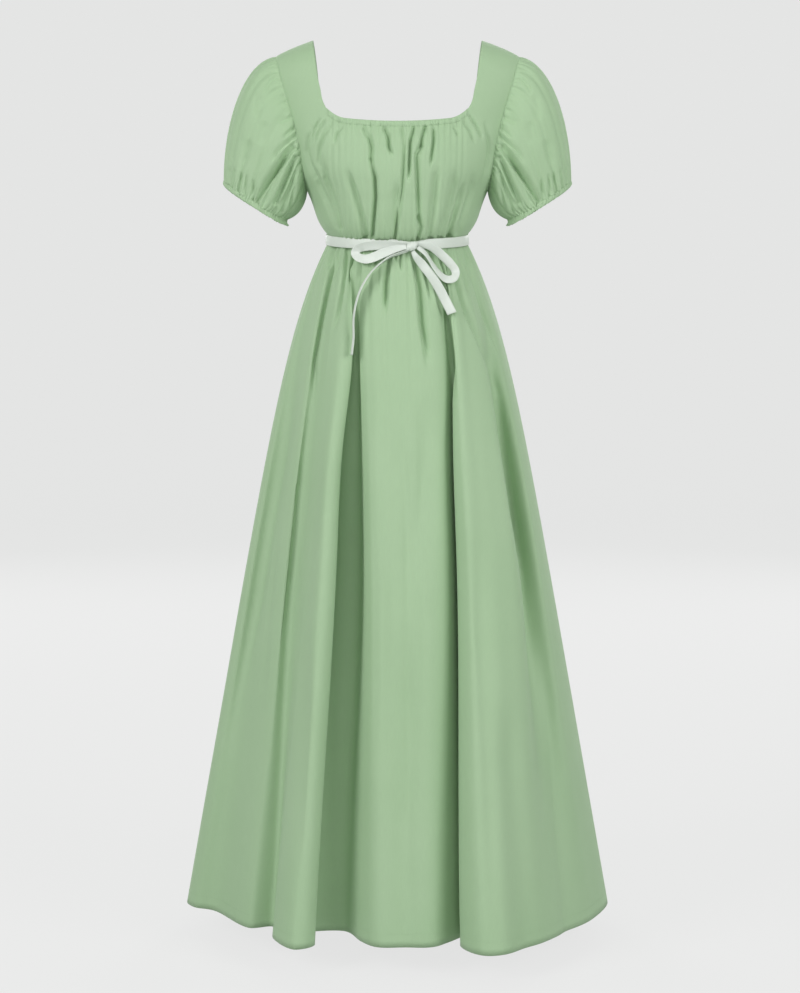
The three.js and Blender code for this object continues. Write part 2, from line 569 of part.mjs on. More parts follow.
const cuffCentre = new THREE.Vector3((CUFF.outerX + CUFF.innerX) / 2, 0, (CUFF.outerZ + CUFF.innerZ) / 2);
const cuffSpan = new THREE.Vector3(CUFF.outerX - CUFF.innerX, 0, CUFF.outerZ - CUFF.innerZ);
const cuffAxis = new THREE.Vector3(cuffSpan.z, 0, -cuffSpan.x).normalize();

function cuffPoint(turn) {
  const forward = Math.sin(turn);
  const point = cuffCentre.clone().addScaledVector(cuffSpan, -0.5 * Math.cos(turn));
  point.y = -CUFF.halfDepth * forward;
  return point.addScaledVector(cuffAxis, CUFF.frontDrop * Math.max(forward, 0));
}

function sleeveCurve(start, turn) {
  const lift = (1 - Math.cos(turn)) / 2;
  const forward = Math.sin(turn);
  const side = Math.abs(forward);
  const end = cuffPoint(turn);
  const out = new THREE.Vector3(
    lerp(PUFF.underOut, PUFF.topOut, lift),
    -PUFF.forward * forward,
    PUFF.sideLift * side - lerp(PUFF.underDrop, PUFF.topDrop, lift),
  );
  const back = new THREE.Vector3(
    lerp(-PUFF_END.underTuck, PUFF_END.topOut, lift) - PUFF_END.sideTuck * side,
    -PUFF_END.forward * forward,
    lerp(PUFF_END.underRise, PUFF_END.topRise, lift),
  );
  return new THREE.CubicBezierCurve3(start, start.clone().add(out), end.clone().add(back), end);
}

function sleeveGatherDepth(gather, share) {
  const { cap, middle, cuff, endDepth } = SLEEVE_GATHER_AT;
  if (share <= cap) {
    return gather.cap * (share / cap);
  }
  if (share <= middle) {
    return lerp(gather.cap, gather.middle, (share - cap) / (middle - cap));
  }
  if (share <= cuff) {
    return lerp(gather.middle, gather.cuff, (share - middle) / (cuff - middle));
  }
  return endDepth;
}

function sleeveGrid(front, back) {
  const ring = armholeRing(front, back);
  const curves = ring.map((start, k) => sleeveCurve(start, (2 * Math.PI * k) / ring.length));
  const base = SLEEVE_SHARES.map((share) => curves.map((curve) => curve.getPoint(share)));
  const options = { cyclic: true, turned: true };
  const depthAt = (r, k) => {
    const gather = SLEEVE_GATHERS[Math.floor(k / 3)];
    return k % 3 === 1 ? -sleeveGatherDepth(gather, SLEEVE_SHARES[r]) : 0;
  };
  return { outer: moveAlong(base, gridNormals(base, options), depthAt), options };
}

// The cuff's lower edge is drawn in by its elastic
function cuffGrid(sleeve) {
  const end = sleeve.outer[sleeve.outer.length - 1];
  return CUFF_SHARES.map((share) => end.map((point) => (
    point.clone().lerp(cuffCentre, CUFF.drawnIn * share ** 2).addScaledVector(cuffAxis, CUFF_GAP + CUFF.height * share)
  )));
}

function mirrored(grid) {
  return grid.map((row) => row.map((point) => new THREE.Vector3(-point.x, point.y, point.z)));
}

// Skirt

function waistPoint(angle, distance, z) {
  const depth = Math.cos(angle) > 0 ? WAIST.front : WAIST.back;
  const x = WAIST.halfWidth * Math.sin(angle);
  const y = -depth * Math.cos(angle);
  const normal = new THREE.Vector2(Math.sin(angle) / WAIST.halfWidth, -Math.cos(angle) / depth).normalize();
  return new THREE.Vector3(x + normal.x * distance, y + normal.y * distance, z);
}

// A value of the fold table between its rows, the table being closed on itself
function foldValue(name, row, share) {
  const count = SKIRT_FOLDS.length;
  const [before, from, to, after] = [-1, 0, 1, 2].map((i) => SKIRT_FOLDS[(row + i + count) % count][name]);
  const tangents = [(to - before) / 2, (after - from) / 2];
  const start = from * (1 + 2 * share) * (1 - share) ** 2 + tangents[0] * share * (1 - share) ** 2;
  const end = to * share * share * (3 - 2 * share) + tangents[1] * share * share * (share - 1);
  return start + end;
}

function skirtColumns() {
  const columns = [];
  SKIRT_FOLDS.forEach((fold, row) => {
    const next = SKIRT_FOLDS[(row + 1) % SKIRT_FOLDS.length];
    const nextDeg = next.deg < fold.deg ? next.deg + 360 : next.deg;
    for (let i = 0; i < fold.columns; i += 1) {
      const share = i / fold.columns;
      const value = (name) => foldValue(name, row, share);
      columns.push({
        angle: degToRad(lerp(fold.deg, nextDeg, share)),
        hem: new THREE.Vector2(value("hemX"), value("hemY")),
        shift: new THREE.Vector2(value("shiftX"), value("shiftY")),
      });
    }
  });
  return columns;
}

function flareAt(share) {
  const value = (t) => FLARE.straight * t + FLARE.spring * (1 - Math.exp(-t / FLARE.reach));
  return value(share) / value(1);
}

function kneeShare(share) {
  const part = share < KNEE ? share / KNEE : (1 - share) / (1 - KNEE);
  return THREE.MathUtils.smoothstep(part, 0, 1);
}

// The skirt's second row lies this far below the waist seam, just under the sash's lower edge
const SASH_REACH = SASH.height / 2 + SASH.under;

function skirtPoint({ angle, hem, shift }, share) {
  const top = waistZ(angle) - SASH_REACH;
  const waist = waistPoint(angle, 0, 0);
  const flare = flareAt(share);
  const knee = kneeShare(share);
  const x = lerp(waist.x, hem.x, flare) + shift.x * knee;
  const y = lerp(waist.y, hem.y, flare) + shift.y * knee;
  return new THREE.Vector3(x, y, lerp(top, HEM_Z, share));
}

const skirtRing = skirtColumns();
const SEAM_COLUMN = skirtRing.findIndex((item) => Math.abs(item.angle - Math.PI / 2) < 1e-6);

function skirtGatherDepth(index, share) {
  const gather = SKIRT_GATHERS[Math.floor(index / 3) % SKIRT_GATHERS.length];
  const columns = skirtRing.length;
  const before = skirtRing[(index - 1 + columns) % columns].angle;
  const spacing = (((skirtRing[index].angle - before) + 2 * Math.PI) % (2 * Math.PI)) * WAIST.halfWidth;
  const rise = Math.min(1, GATHER_START.depthShare + share / GATHER_START.rise);
  const fall = Math.max(0, 1 - share / gather.reach) ** GATHER_START.fade;
  return gather.depth * Math.min(1, spacing / GATHER_START.fullSpacing) * rise * fall;
}

function skirtGrids() {
  const top = skirtRing.map(({ angle }) => waistPoint(angle, 0, waistZ(angle) - HALF_SEAM));
  const base = [top, ...SKIRT_SHARES.map((share) => skirtRing.map((item) => skirtPoint(item, share)))];
  const options = {
    cyclic: true,
    turned: true,
    settle: (normal, r) => {
      if (r === 0) {
        normal.z = 0;
      }
    },
  };
  const depthAt = (r, c) => {
    if (c % 3 !== 1) {
      return 0;
    }
    return -(r === 0 ? GATHER_START.underSash : skirtGatherDepth(c, SKIRT_SHARES[r - 1]));
  };
  const outer = moveAlong(base, gridNormals(base, options), depthAt);
  const inner = moveAlong(outer, gridNormals(outer, options), -CLOTH);
  return { outer, inner };
}

// The columns of one half of the skirt, its two edges drawn in by half a seam
function skirtHalf(grids, from, to) {
  const count = skirtRing.length;
  const slice = (grid) => grid.map((row, r) => {
    const points = [];
    for (let c = from; c <= to; c += 1) {
      points.push(row[c % count].clone());
    }
    const inwards = (here, there) => {
      const along = grids.outer[r][there % count].clone().sub(grids.outer[r][here % count]);
      return along.setZ(0).normalize().multiplyScalar(HALF_SEAM);
    };
    points[0].add(inwards((from - 1 + count) % count, from + 1));
    points[points.length - 1].add(inwards(to + 1, to - 1));
    return points;
  });
  return wallGeometry(slice(grids.outer), slice(grids.inner), { turned: true });
}

// Sash and bow

function sashGeometry() {
  const rows = [-SASH.height / 2, SASH.height / 2].map((rise) => {
    const points = [];
    for (let i = 0; i < SASH.columns; i += 1) {
      const angle = (2 * Math.PI * i) / SASH.columns - Math.PI / 2;
      points.push(waistPoint(angle, SASH.clearance + RIBBON + HALF_SEAM, waistZ(angle) + rise));
    }
    return points;
  });
  return clothWall(rows, { cyclic: true }, RIBBON);
}

// The foremost cloth near a place on the dress's front, from the skirt's rows or the sash
function frontY(x, z, outer) {
  const sashY = waistPoint(angleAt(x, WAIST.sideZ), SASH.clearance + RIBBON + HALF_SEAM, 0).y;
  const share = (waistZ(0) - SASH_REACH - z) / (waistZ(0) - SASH_REACH - HEM_Z);
  if (share <= 0) {
    return sashY;
  }
  const below = SKIRT_SHARES.findIndex((value) => value > share);
  const part = (share - SKIRT_SHARES[below - 1]) / (SKIRT_SHARES[below] - SKIRT_SHARES[below - 1]);
  let foremost = sashY;
  for (let c = 0; c < SEAM_COLUMN; c += 1) {
    const point = outer[below][c].clone().lerp(outer[below + 1][c], part);
    if (Math.abs(point.x - x) < TAIL_CLEARANCE) {
      foremost = Math.min(foremost, point.y);
    }
  }
  return foremost;
}

// A ribbon along a table of places, as a closed strip of flat section
function ribbonGeometry(table, outer, stepsEach = 2) {
  const path = new THREE.CatmullRomCurve3(table.map(({ x, z, proud, width, turn, lean }) => {
    const behind = (width / 2) * Math.sin(degToRad(turn));
    const under = (width / 2) * Math.cos(degToRad(turn)) * Math.sin(degToRad(lean));
    const cloth = Math.min(frontY(x, z, outer), frontY(x, z - under, outer));
    return new THREE.Vector3(x, cloth - proud - behind, z);
  }));
  const steps = (table.length - 1) * stepsEach;
  const left = [];
  const right = [];
  for (let i = 0; i <= steps; i += 1) {
    const t = i / steps;
    const row = Math.min(Math.floor(i / stepsEach), table.length - 2);
    const share = i / stepsEach - row;
    const value = (name) => lerp(table[row][name], table[row + 1][name], share);
    const turn = degToRad(value("turn"));
    const lean = degToRad(value("lean"));
    const across = new THREE.Vector3(
      Math.cos(turn) * Math.cos(lean),
      -Math.sin(turn),
      Math.cos(turn) * Math.sin(lean),
    );
    const point = path.getPoint(t);
    left.push(point.clone().addScaledVector(across, -value("width") / 2));
    right.push(point.clone().addScaledVector(across, value("width") / 2));
  }
  return clothWall([left, right], {}, RIBBON);
}

function knotGeometry() {
  const sphere = new THREE.SphereGeometry(1, 12, 8);
  sphere.scale(KNOT.halfWidth, KNOT.halfDepth, KNOT.halfHeight);
  const front = waistPoint(angleAt(KNOT.x, WAIST.sideZ), SASH.clearance + RIBBON + HALF_SEAM, 0).y;
  sphere.translate(KNOT.x, front - KNOT.halfDepth - KNOT_GAP, KNOT.z);
  return sphere;
}

// The dress

const dress = new THREE.Group();
dress.name = "maxi_dress";

function addPiece(name, geometry, material = clothMaterial) {
  const mesh = new THREE.Mesh(geometry, material);
  mesh.name = name;
  dress.add(mesh);
}

const bodiceFront = bodicePanel(-1, FRONT_GATHERS);
const bodiceBack = bodicePanel(1, BACK_GATHERS);
addPiece("bodice_front", clothWall(bodiceFront.outer, bodiceFront.options));
addPiece("bodice_back", clothWall(bodiceBack.outer, bodiceBack.options));
addPiece("neck_casing_front", neckCasing(bodiceFront));
addPiece("neck_casing_back", neckCasing(bodiceBack));

const sleeve = sleeveGrid(bodiceFront, bodiceBack);
const cuff = cuffGrid(sleeve);
addPiece("sleeve_right", clothWall(sleeve.outer, sleeve.options));
addPiece("sleeve_left", clothWall(mirrored(sleeve.outer), { cyclic: true }));
addPiece("cuff_right", clothWall(cuff, sleeve.options));
addPiece("cuff_left", clothWall(mirrored(cuff), { cyclic: true }));

const skirt = skirtGrids();
addPiece("skirt_front", skirtHalf(skirt, 0, SEAM_COLUMN));
addPiece("skirt_back", skirtHalf(skirt, SEAM_COLUMN, skirtRing.length));

addPiece("sash_band", sashGeometry(), ribbonMaterial);
addPiece("bow_knot", knotGeometry(), ribbonMaterial);
addPiece("bow_loop_left", ribbonGeometry(LOOP_LEFT, skirt.outer), ribbonMaterial);
addPiece("bow_loop_right", ribbonGeometry(LOOP_RIGHT, skirt.outer), ribbonMaterial);
addPiece("sash_tail_left", ribbonGeometry(TAIL_LEFT, skirt.outer), ribbonMaterial);
addPiece("sash_tail_right", ribbonGeometry(TAIL_RIGHT, skirt.outer), ribbonMaterial);

export default dress;
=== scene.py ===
"""Maxi dress: thin draped cloth, satin bow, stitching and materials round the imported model.

The tables are in millimetres and degrees, Blender is in metres. +Z is up, the front faces -Y, and left and right
are those of a viewer who looks at the front. The main surfaces repeat the sizes of part.mjs.
"""
import math

import bpy
import numpy as np
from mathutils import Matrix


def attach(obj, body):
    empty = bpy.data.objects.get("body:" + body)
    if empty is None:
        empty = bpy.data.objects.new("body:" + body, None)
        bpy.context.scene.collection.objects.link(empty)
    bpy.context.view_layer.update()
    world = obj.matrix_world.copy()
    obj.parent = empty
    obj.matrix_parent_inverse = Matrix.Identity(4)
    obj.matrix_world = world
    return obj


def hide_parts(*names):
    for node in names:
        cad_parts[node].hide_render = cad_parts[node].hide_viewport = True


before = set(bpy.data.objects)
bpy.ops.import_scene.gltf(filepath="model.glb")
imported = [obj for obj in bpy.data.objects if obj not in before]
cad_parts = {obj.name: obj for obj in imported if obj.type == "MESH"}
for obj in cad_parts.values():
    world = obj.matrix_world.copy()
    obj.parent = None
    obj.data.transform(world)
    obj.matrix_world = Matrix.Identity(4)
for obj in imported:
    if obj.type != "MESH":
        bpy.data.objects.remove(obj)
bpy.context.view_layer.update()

MM = 0.001
TINY = 1e-6
FRONT, BACK = -1, 1


def table(text):
    """A text table as one array for each column that its first line names"""
    names, *rows = [line.split("#")[0].split() for line in text.strip().splitlines()]
    return dict(zip(names, np.array(rows, dtype=float).T))


def crease_table(text):
    """A text table of creases, each as its five numbers and its path of places x,z"""
    rows = [line.split() for line in text.strip().splitlines()[1:]]
    return [([float(v) for v in row[:5]], np.array([place.split(",") for place in row[5:]], dtype=float))
            for row in rows]


# Camera, at the photograph's viewing angle
CAMERA = {"place": (0.004, -3.75, -0.36), "tilt_down": 5.305, "lens": 85, "sensor": 36, "reach": 50}

# Cloth
CLOTH = 0.8
RIBBON = 0.45
HALF_SEAM = 0.15
SEAM_GAP = 0.3
SEAM_ALLOWANCE = {"width": 2.4, "under": 1.5}
SEAM_DITCH = {"depth": 0.5, "reach": 1.4}
NEAR_EDGE = 0.9

# Points of the grids
POINTS = {
    "panel_side": 34, "panel_middle": 240, "panel_low": 96, "panel_high": 60,
    "sleeve_round": 320, "sleeve_long": 96, "cuff_round": 560, "cuff_high": 9,
    "skirt_long": 170, "skirt_front": 4, "skirt_back": 5, "sash_round": 480, "sash_high": 15,
    "knot_round": 96, "knot_wide": 40, "ribbon_step": 12, "ribbon_wide": 11,
}

SHOULDER = {"neck_x": 133, "neck_z": 14, "tip_x": 192, "tip_z": -11, "round_over": 55}
UNDERARM_Z = -222
WAIST = {"half_width": 112, "front": 100, "back": 90, "side_z": -297, "dip": 10, "dip_reach": 60, "pull_in": 0.62,
         "side_pull_in": 0.9}
SASH = {"height": 16, "clearance": 0.8, "under": 0.5, "over_gathers": 0.6, "swell": 0.5, "ripples": 44, "bends": 13,
        "ripple_least": 0.3}
HEM = {"z": -1375, "turn": 16, "ditch": 0.5, "ditch_reach": 1.6}

# Horizontal sections of the bodice. arm_x is where the armhole seam crosses that height.
SECTIONS = table("""
z half_width front back arm_x
-311 112 100 90 112
-287 112.1 100.1 90.1 112
-280 117 107 94 117
-265 126 115 99 126
-241 135 122 104 135
-222 143 125 107 143
-197 158 126 110 147
-155 173 120 112 153
-109 190 102 108 164
-59 206 90 98 179.5
-11 218 82 86 192
14 222 80 84 200
""")
NECKLINE = {"mid_z": -118, "sweep": 5, "sweep_x": 80, "corner_x": 107, "corner_rise": 10, "back_spread": 6}
STRAP_EDGE = table("""
z x
-103 107
-83 116.6
-68 119.5
-52 123
-29 126.5
14 133
""")
CASING = {"clearance": 0.7, "thickness": 0.7, "swell": 0.3, "roundness": 0.4, "end_fade": 0.06}

# Rows of a bodice panel: shares of its height at whole row numbers, the strap's and the armhole's rows after them
PANEL_SHARES = [0, 0.046, 0.13, 0.27, 0.43, 0.59, 0.76, 0.955, 1]
SIDE_SHARES = [0, 0.11, 0.5, 1]
NECK_ROW = len(PANEL_SHARES) - 1
UNDERARM_ROW = len(SIDE_SHARES) - 1
LAST_ROW = UNDERARM_ROW + 12
FOOT_ANGLE = 52

# Gathers of the front panel, from -1 at one neck corner to 1 at the other, at the neckline and at the waist
FRONT_GATHERS = table("""
at foot neck bust waist
-0.95 -0.93 1.2 0.9 1.8
-0.86 -0.82 2 0.5 1.4
-0.76 -0.72 1.8 0.2 1.8
-0.67 -0.63 1.4 0.2 1.2
-0.58 -0.54 1.8 0.2 1.4
-0.48 -0.45 1.4 0.3 2.2
-0.385 -0.36 1.8 0.3 1.2
-0.29 -0.27 2.2 0.4 2.2
-0.2 -0.185 1.6 0.3 1.4
-0.11 -0.105 2.2 0.4 1.8
-0.02 -0.025 1.8 0.3 2.2
0.065 0.05 2 0.4 2.2
0.145 0.13 1.8 0.4 1.2
0.235 0.215 2.2 0.4 2.2
0.325 0.3 1.6 0.3 1.2
0.415 0.385 2 0.4 2.2
0.51 0.475 1.6 0.3 1.4
0.6 0.565 1.8 0.2 2
0.69 0.655 1.4 0.2 1.4
0.78 0.745 2 0.2 2
0.87 0.835 1.6 0.5 1.4
0.95 0.93 1.2 0.9 1.8
""")
BACK_GATHERS = table("""
at foot neck bust waist
-0.86 -0.84 1.6 0.8 2
-0.62 -0.6 2 0.6 1.8
-0.4 -0.41 1.8 1 2.2
-0.2 -0.18 2 0.8 2
0.02 0.03 2 1.2 2.2
0.22 0.21 1.8 0.6 1.8
0.42 0.44 2 1 2.2
0.63 0.62 1.8 0.6 2
0.87 0.85 1.6 0.8 2
""")
GATHER = {"width": 0.018, "widening": 0.6, "neck_reach": 0.14, "neck_start": 0.05, "waist_reach": 0.16,
          "side_fade": 0.04}

# Fine gathers between the main ones: how many, their depth, and the shares of the length over which they fade and
# start. Puckers are two sets of waves with their seeds, their depth and how much they grow to the edges.
WAVE = {"drift": 0.3, "least": 0.3}
FINE_WAVES = {
    "neckline": (58, 1.8, 0.1, 0.04),
    "blouse": (66, 1.3, 0.1, 0),
    "cap": (54, 3.4, 0.09, 0.02),
    "cuff": (60, 3.6, 0.08, 0.015),
    "waist": (96, 3.8, 0.035, 0),
    "hip": (42, 4.4, 0.1, 0),
}
BROAD_WAVES = {"sleeve": (23, 0.9), "skirt": (27, 2.2)}
PUCKERS = {"neckline": ((84, 46), (0, 5), 1.5, 0.45), "cuff": ((64, 41), (0, 3), 2.2, 0.4)}
CREASE = {"depth": 1.9, "narrow": 2.4, "start": 0.3, "end": 0.35, "past_end": 2}

# Creases as seen from the front: the widths to the left and right of the line, the depth, the shares of the depth
# that stay at the two ends, and the places x,z along the crease
FRONT_CREASES = crease_table("""
left right depth at_start at_end path
2.2 5 3.4 0.2 0.5 -118,-176 -113,-206 -103,-236 -90,-283
2 5 2.4 0.2 0.3 -133,-184 -123,-215 -109,-245 -97,-279
4 2 2 0.4 0.3 -101,-122 -114,-138 -121,-159 -123,-179 -117,-197
4 2.2 2 0.2 0.5 -133,-124 -140,-142 -141,-162 -136,-182 -128,-203
3 1.6 1.6 0.6 0 -112,-117 -123,-132 -129,-152
3 1.6 1.5 0.4 0 -121,-113 -130,-130 -135,-152
3 1.8 1.4 0.8 0 -85,-126 -94,-138 -99,-155
2 4.5 2.8 0.6 0.6 -53,-130 -45,-143 -41,-158 -42,-179
2.2 3.4 4.6 0.3 0.7 -42,-176 -36,-206 -35,-236 -38,-269 -40,-298
7 2.6 3.4 0 1 -79,-188 -70,-212 -62,-237 -53,-270 -47,-299
3 2.2 3.2 0.8 0.1 -19,-129 -14,-142 -13,-157 -6,-173
2.2 3 2.2 0.5 1 7,-131 11,-151 10,-176 9,-196 7,-225 1,-268 -4,-300
9 2 3 0 0.8 3,-206 0,-250 -1,-276 -2,-300
2.4 2.4 3.8 0.5 0 25,-129 20,-149 19,-176 18,-198 15,-215
2 3 3 1 0.6 42,-127 38,-142 36,-157
2.4 5 3.6 0.8 0.6 36,-155 29,-170 30,-193 31,-226 32,-251 33,-271
2.4 3.4 2.8 0.6 0.8 33,-266 37,-283 31,-302
2 2.6 2.6 0.8 0 56,-131 56,-149 53,-168 50,-192
6 4 2.6 0 0.8 57,-176 62,-196 59,-232 55,-266 51,-301
7 4 2.2 0 0.9 92,-183 89,-224 77,-269 66,-300
6 2.2 3.4 0 1 106,-207 98,-246 89,-272 82,-300
1.8 3 1.6 0.5 0 112,-109 124,-127 133,-147
2.2 4 2.2 0.2 0.2 136,-120 142,-144 143,-166 139,-189 131,-215
1.8 3 1.4 0.8 0 87,-125 94,-140
1.8 3 1.6 0.6 0 103,-118 113,-133 119,-152
5 3 1.8 0 0.6 121,-190 116,-225 104,-262 96,-290
""")
BACK_CREASES = crease_table("""
left right depth at_start at_end path
4 2.2 1.8 0.4 0 -112,-130 -122,-150 -124,-180 -112,-225
3 5 2.8 0.9 0 -84,-298 -92,-268 -104,-235 -112,-205
2.4 5 2.6 1 0 -52,-299 -56,-262 -60,-220
2.4 4 2.4 0.8 0 -30,-126 -27,-160 -29,-196
3 5 2.8 1 0 -12,-299 -13,-255 -18,-212
4 2.4 2.6 1 0 24,-299 25,-262 22,-225 24,-190
4 2.2 2.2 0.8 0 48,-127 46,-158 50,-185
5 2.6 2.8 1 0 66,-298 72,-262 80,-228
5 3 2.2 0.8 0 96,-296 104,-266 114,-238
2 4 1.8 0.5 0 110,-122 121,-140 127,-168
""")

# Folds of the skirt, once round from the left seam over the front. deg is the place on the waist, 0 in front.
# hem_x and hem_y are the fold's place at the hem. shift_x and shift_y move it at the height of the knee, and
# the shift of UPPER_FOLDS at the height of UPPER.
UPPER = {"z": -470, "reach": 130}
UPPER_FOLDS = table("""
deg shift_x
-60 0
-51 4
-46 12
-42 17
-38.5 15
-35 6
-31 -3
-22 0
10 0
17 5
27 11
31 10
35 8
40 4
50 0
""")
SKIRT_FOLDS = table("""
deg hem_x hem_y shift_x shift_y columns
-90 -344 20 0 0 2  # left seam
-82 -330 -24 0 0 2
-74 -292 -50 0 6 3  # left valley
-65 -236 -146 0 -4 3
-57 -196 -140 -10 2 3
-51 -192 -206 8 6 3  # left lobe
-46 -158 -268 6 -2 2
-42 -126 -240 10 -2 2  # its lip
-38.5 -146 -178 14 30 2
-35 -84 -164 17 30 2  # left recess
-31 -56 -222 5 -2 3  # centre panel's left lip
-22 -32 -253 3 -4 6
-3 6 -257 0 -4 6
17 52 -254 8 -4 3
27 78 -228 14 -2 2  # centre panel's right lip
31 112 -184 12 26 2
35 96 -246 9 -2 2  # right lobe's lip
40 124 -296 6 -4 3
50 162 -294 2 -4 3
60 218 -236 22 0 3
68 266 -166 -8 36 3  # right valley
76 312 -92 2 -22 4
90 344 12 0 0 3  # right seam
101 322 104 0 6 3
112 262 122 -2 -10 3
124 222 206 0 6 3
137 158 186 0 -6 3
152 104 250 0 4 3
168 42 214 4 -8 3
183 -14 258 0 6 3  # middle of the back
200 -76 208 -4 -8 3
215 -146 242 0 6 3
231 -204 168 4 -6 3
246 -278 160 -2 4 3
259 -312 78 2 -8 3
""")
RIGHT_SEAM = 22
FLARE = {"straight": 0.833, "spring": 0.179, "reach": 0.115}
KNEE = 0.46
SKIRT = {"tuck": [-0.018, -0.01], "tuck_height": 400, "denser": 1.6, "start": 0.012, "rise": 0.03,
         "waist_least": 0.3, "crease_least": 0.4}

SKIRT_FRONT_CREASES = crease_table("""
left right depth at_start at_end path
3.5 2.4 3.6 0.9 0 -100,-303 -104,-345 -110,-378 -119,-425 -129,-486 -132,-560
2.4 3.6 3.6 1 0 -79,-306 -85,-356 -89,-384 -95,-418 -103,-449
1.8 3 2.2 1 0 -103,-306 -109,-329 -111,-348
2 2 2 1 0 -92,-306 -96,-335 -101,-362
2 2.6 2.4 1 0 -68,-306 -72,-340 -75,-372
2 2.6 2.6 1 0 -58,-306 -59,-336 -62,-368
2 2.2 2 1 0 -34,-307 -35,-327 -37,-346
1.8 1.8 2 1 0 -22,-307 -22,-322 -24,-336
4.5 3 4.4 1 0 -9,-307 -14,-335 -17,-365 -18,-386 -20,-418
1.6 1.6 2 1 0 -4,-307 -4,-324 -4,-336
2 2 2.6 1 0 4,-307 4,-329 6,-352
1.6 1.6 1.8 1 0 13,-307 13,-322 13,-334
3 7 5.6 1 0 22,-307 29,-348 33,-371 35,-395 37,-426 43,-462 47,-506
2.6 4 3 1 0 36,-307 44,-345 49,-375 54,-402
3 4 3 1 0 50,-307 59,-345 64,-382 70,-420
2.2 3 2.4 1 0 66,-307 72,-350 77,-395
3 3 2.6 0 0.2 74,-360 78,-425 83,-473 87,-542
2.4 4 3.4 0.9 0.3 78,-307 88,-345 98,-385 107,-411 123,-443 141,-490 156,-534
2 3.4 2.4 1 0 93,-305 104,-345 113,-390
2.2 4 2.4 0.8 0 104,-304 112,-341 136,-417 150,-451 167,-494
2.6 9 4 0.1 0 141,-490 152,-545 165,-630 184,-750 203,-870
13 11 3.6 0 0 -146,-430 -163,-525 -176,-594 -207,-756 -230,-884 -276,-1104 -300,-1217
20 15 2.6 0 0.6 -132,-520 -150,-690 -164,-778 -177,-866 -203,-1112 -222,-1374
3 2 1 0 0 -179,-682 -190,-760 -202,-867 -222,-1112
26 18 3 0 0 -8,-560 4,-640 20,-760 24,-900
14 22 3 0 0 40,-520 46,-620 36,-740 26,-820
22 16 3 0 0.7 12,-880 20,-1050 12,-1230 16,-1374
16 20 2 0 0 -30,-700 -34,-900 -30,-1150
18 14 3 0 0.6 118,-700 128,-900 140,-1150 146,-1374
20 14 3.4 0 0.8 168,-980 184,-1180 198,-1374
10 14 3 0 0.6 224,-900 246,-1100 266,-1374
12 14 2.6 0 0.8 -140,-880 -146,-1080 -152,-1374
""")
SKIRT_BACK_CREASES = crease_table("""
left right depth at_start at_end path
3 3 3 0.9 0 -100,-303 -107,-350 -118,-410 -132,-500
2.6 3.4 2.8 1 0 -86,-305 -91,-345 -99,-400
3 5 4 1 0 -72,-306 -77,-350 -84,-430 -96,-540
2.4 3 2.6 1 0 -58,-306 -60,-345 -64,-385
4 5 4.2 1 0 -42,-306 -45,-350 -48,-420 -56,-520
2.4 2.4 2.6 1 0 -27,-306 -28,-340 -28,-372
3 4 3.8 1 0 -12,-306 -13,-350 -15,-420
2.2 2.2 2.4 1 0 2,-306 2,-335 3,-362
4 4 4.4 1 0 15,-306 18,-350 21,-430 26,-560
2.4 3 2.8 1 0 31,-306 34,-345 38,-388
3 4 3.8 1 0 46,-306 50,-350 57,-450
2.6 2.6 2.6 1 0 61,-306 65,-345 70,-385
5 3 3.8 1 0 76,-306 82,-350 92,-430 104,-540
3 3 2.6 1 0 90,-305 97,-345 106,-395
3 3 2.8 1 0 102,-303 111,-350 128,-430
18 14 3.4 0 0.7 -60,-640 -70,-850 -90,-1100 -104,-1374
16 20 3.4 0 0.7 30,-600 36,-800 52,-1050 60,-1374
16 14 3.4 0 0.7 150,-720 176,-950 196,-1374
14 18 3 0 0.7 -168,-800 -190,-1050 -212,-1374
20 16 3 0 0.7 -8,-900 -16,-1120 -24,-1374
""")

# Right sleeve; the left one mirrors it. The cuff is an ellipse between an outer and an inner end.
CUFF = {"outer_x": 275.5, "outer_z": -205.4, "inner_x": 174.5, "inner_z": -266.4, "half_depth": 47, "front_drop": 5,
        "height": 10.4, "drawn_in": 0.03, "swell": 0.3, "roundness": 0.5, "proud": 0.2}
CUFF_HANG = (-0.35, 0, -0.94)
PUFF = {"top_out": 53, "top_drop": 6, "under_out": 2, "under_drop": 18, "side_lift": 6, "forward": 20}
PUFF_END = {"top_rise": 85, "under_rise": 7, "top_out": 1, "under_tuck": 20.6, "side_tuck": 14, "forward": 14}
SLEEVE_GATHERS = table("""
cap middle cuff
1 1.2 1.8
1.6 2.6 2.2
2.4 4.2 2.8
3 5 3.2
2.4 1.8 2.8
2.6 0.8 2.4
2.2 0.4 2.2
2.8 0.8 2.6
1.6 0.3 2
2.4 0.4 2.2
2.8 0.8 2.4
2.2 0.6 2.2
2.6 0.8 2.8
2.4 2 2.4
2.6 3 3
1.6 1.6 2.4
""")
SLEEVE_GATHER = {"shares": (0, 0.12, 0.44, 0.91, 1), "end_depth": 0.8, "width": 0.0095}
SLEEVE_DITCH = {"depth_share": 0.6, "length": 150}
SLEEVE_FRONT = 0.4
SLEEVE_DENSER = {"at": 0.2, "by": 0.55}
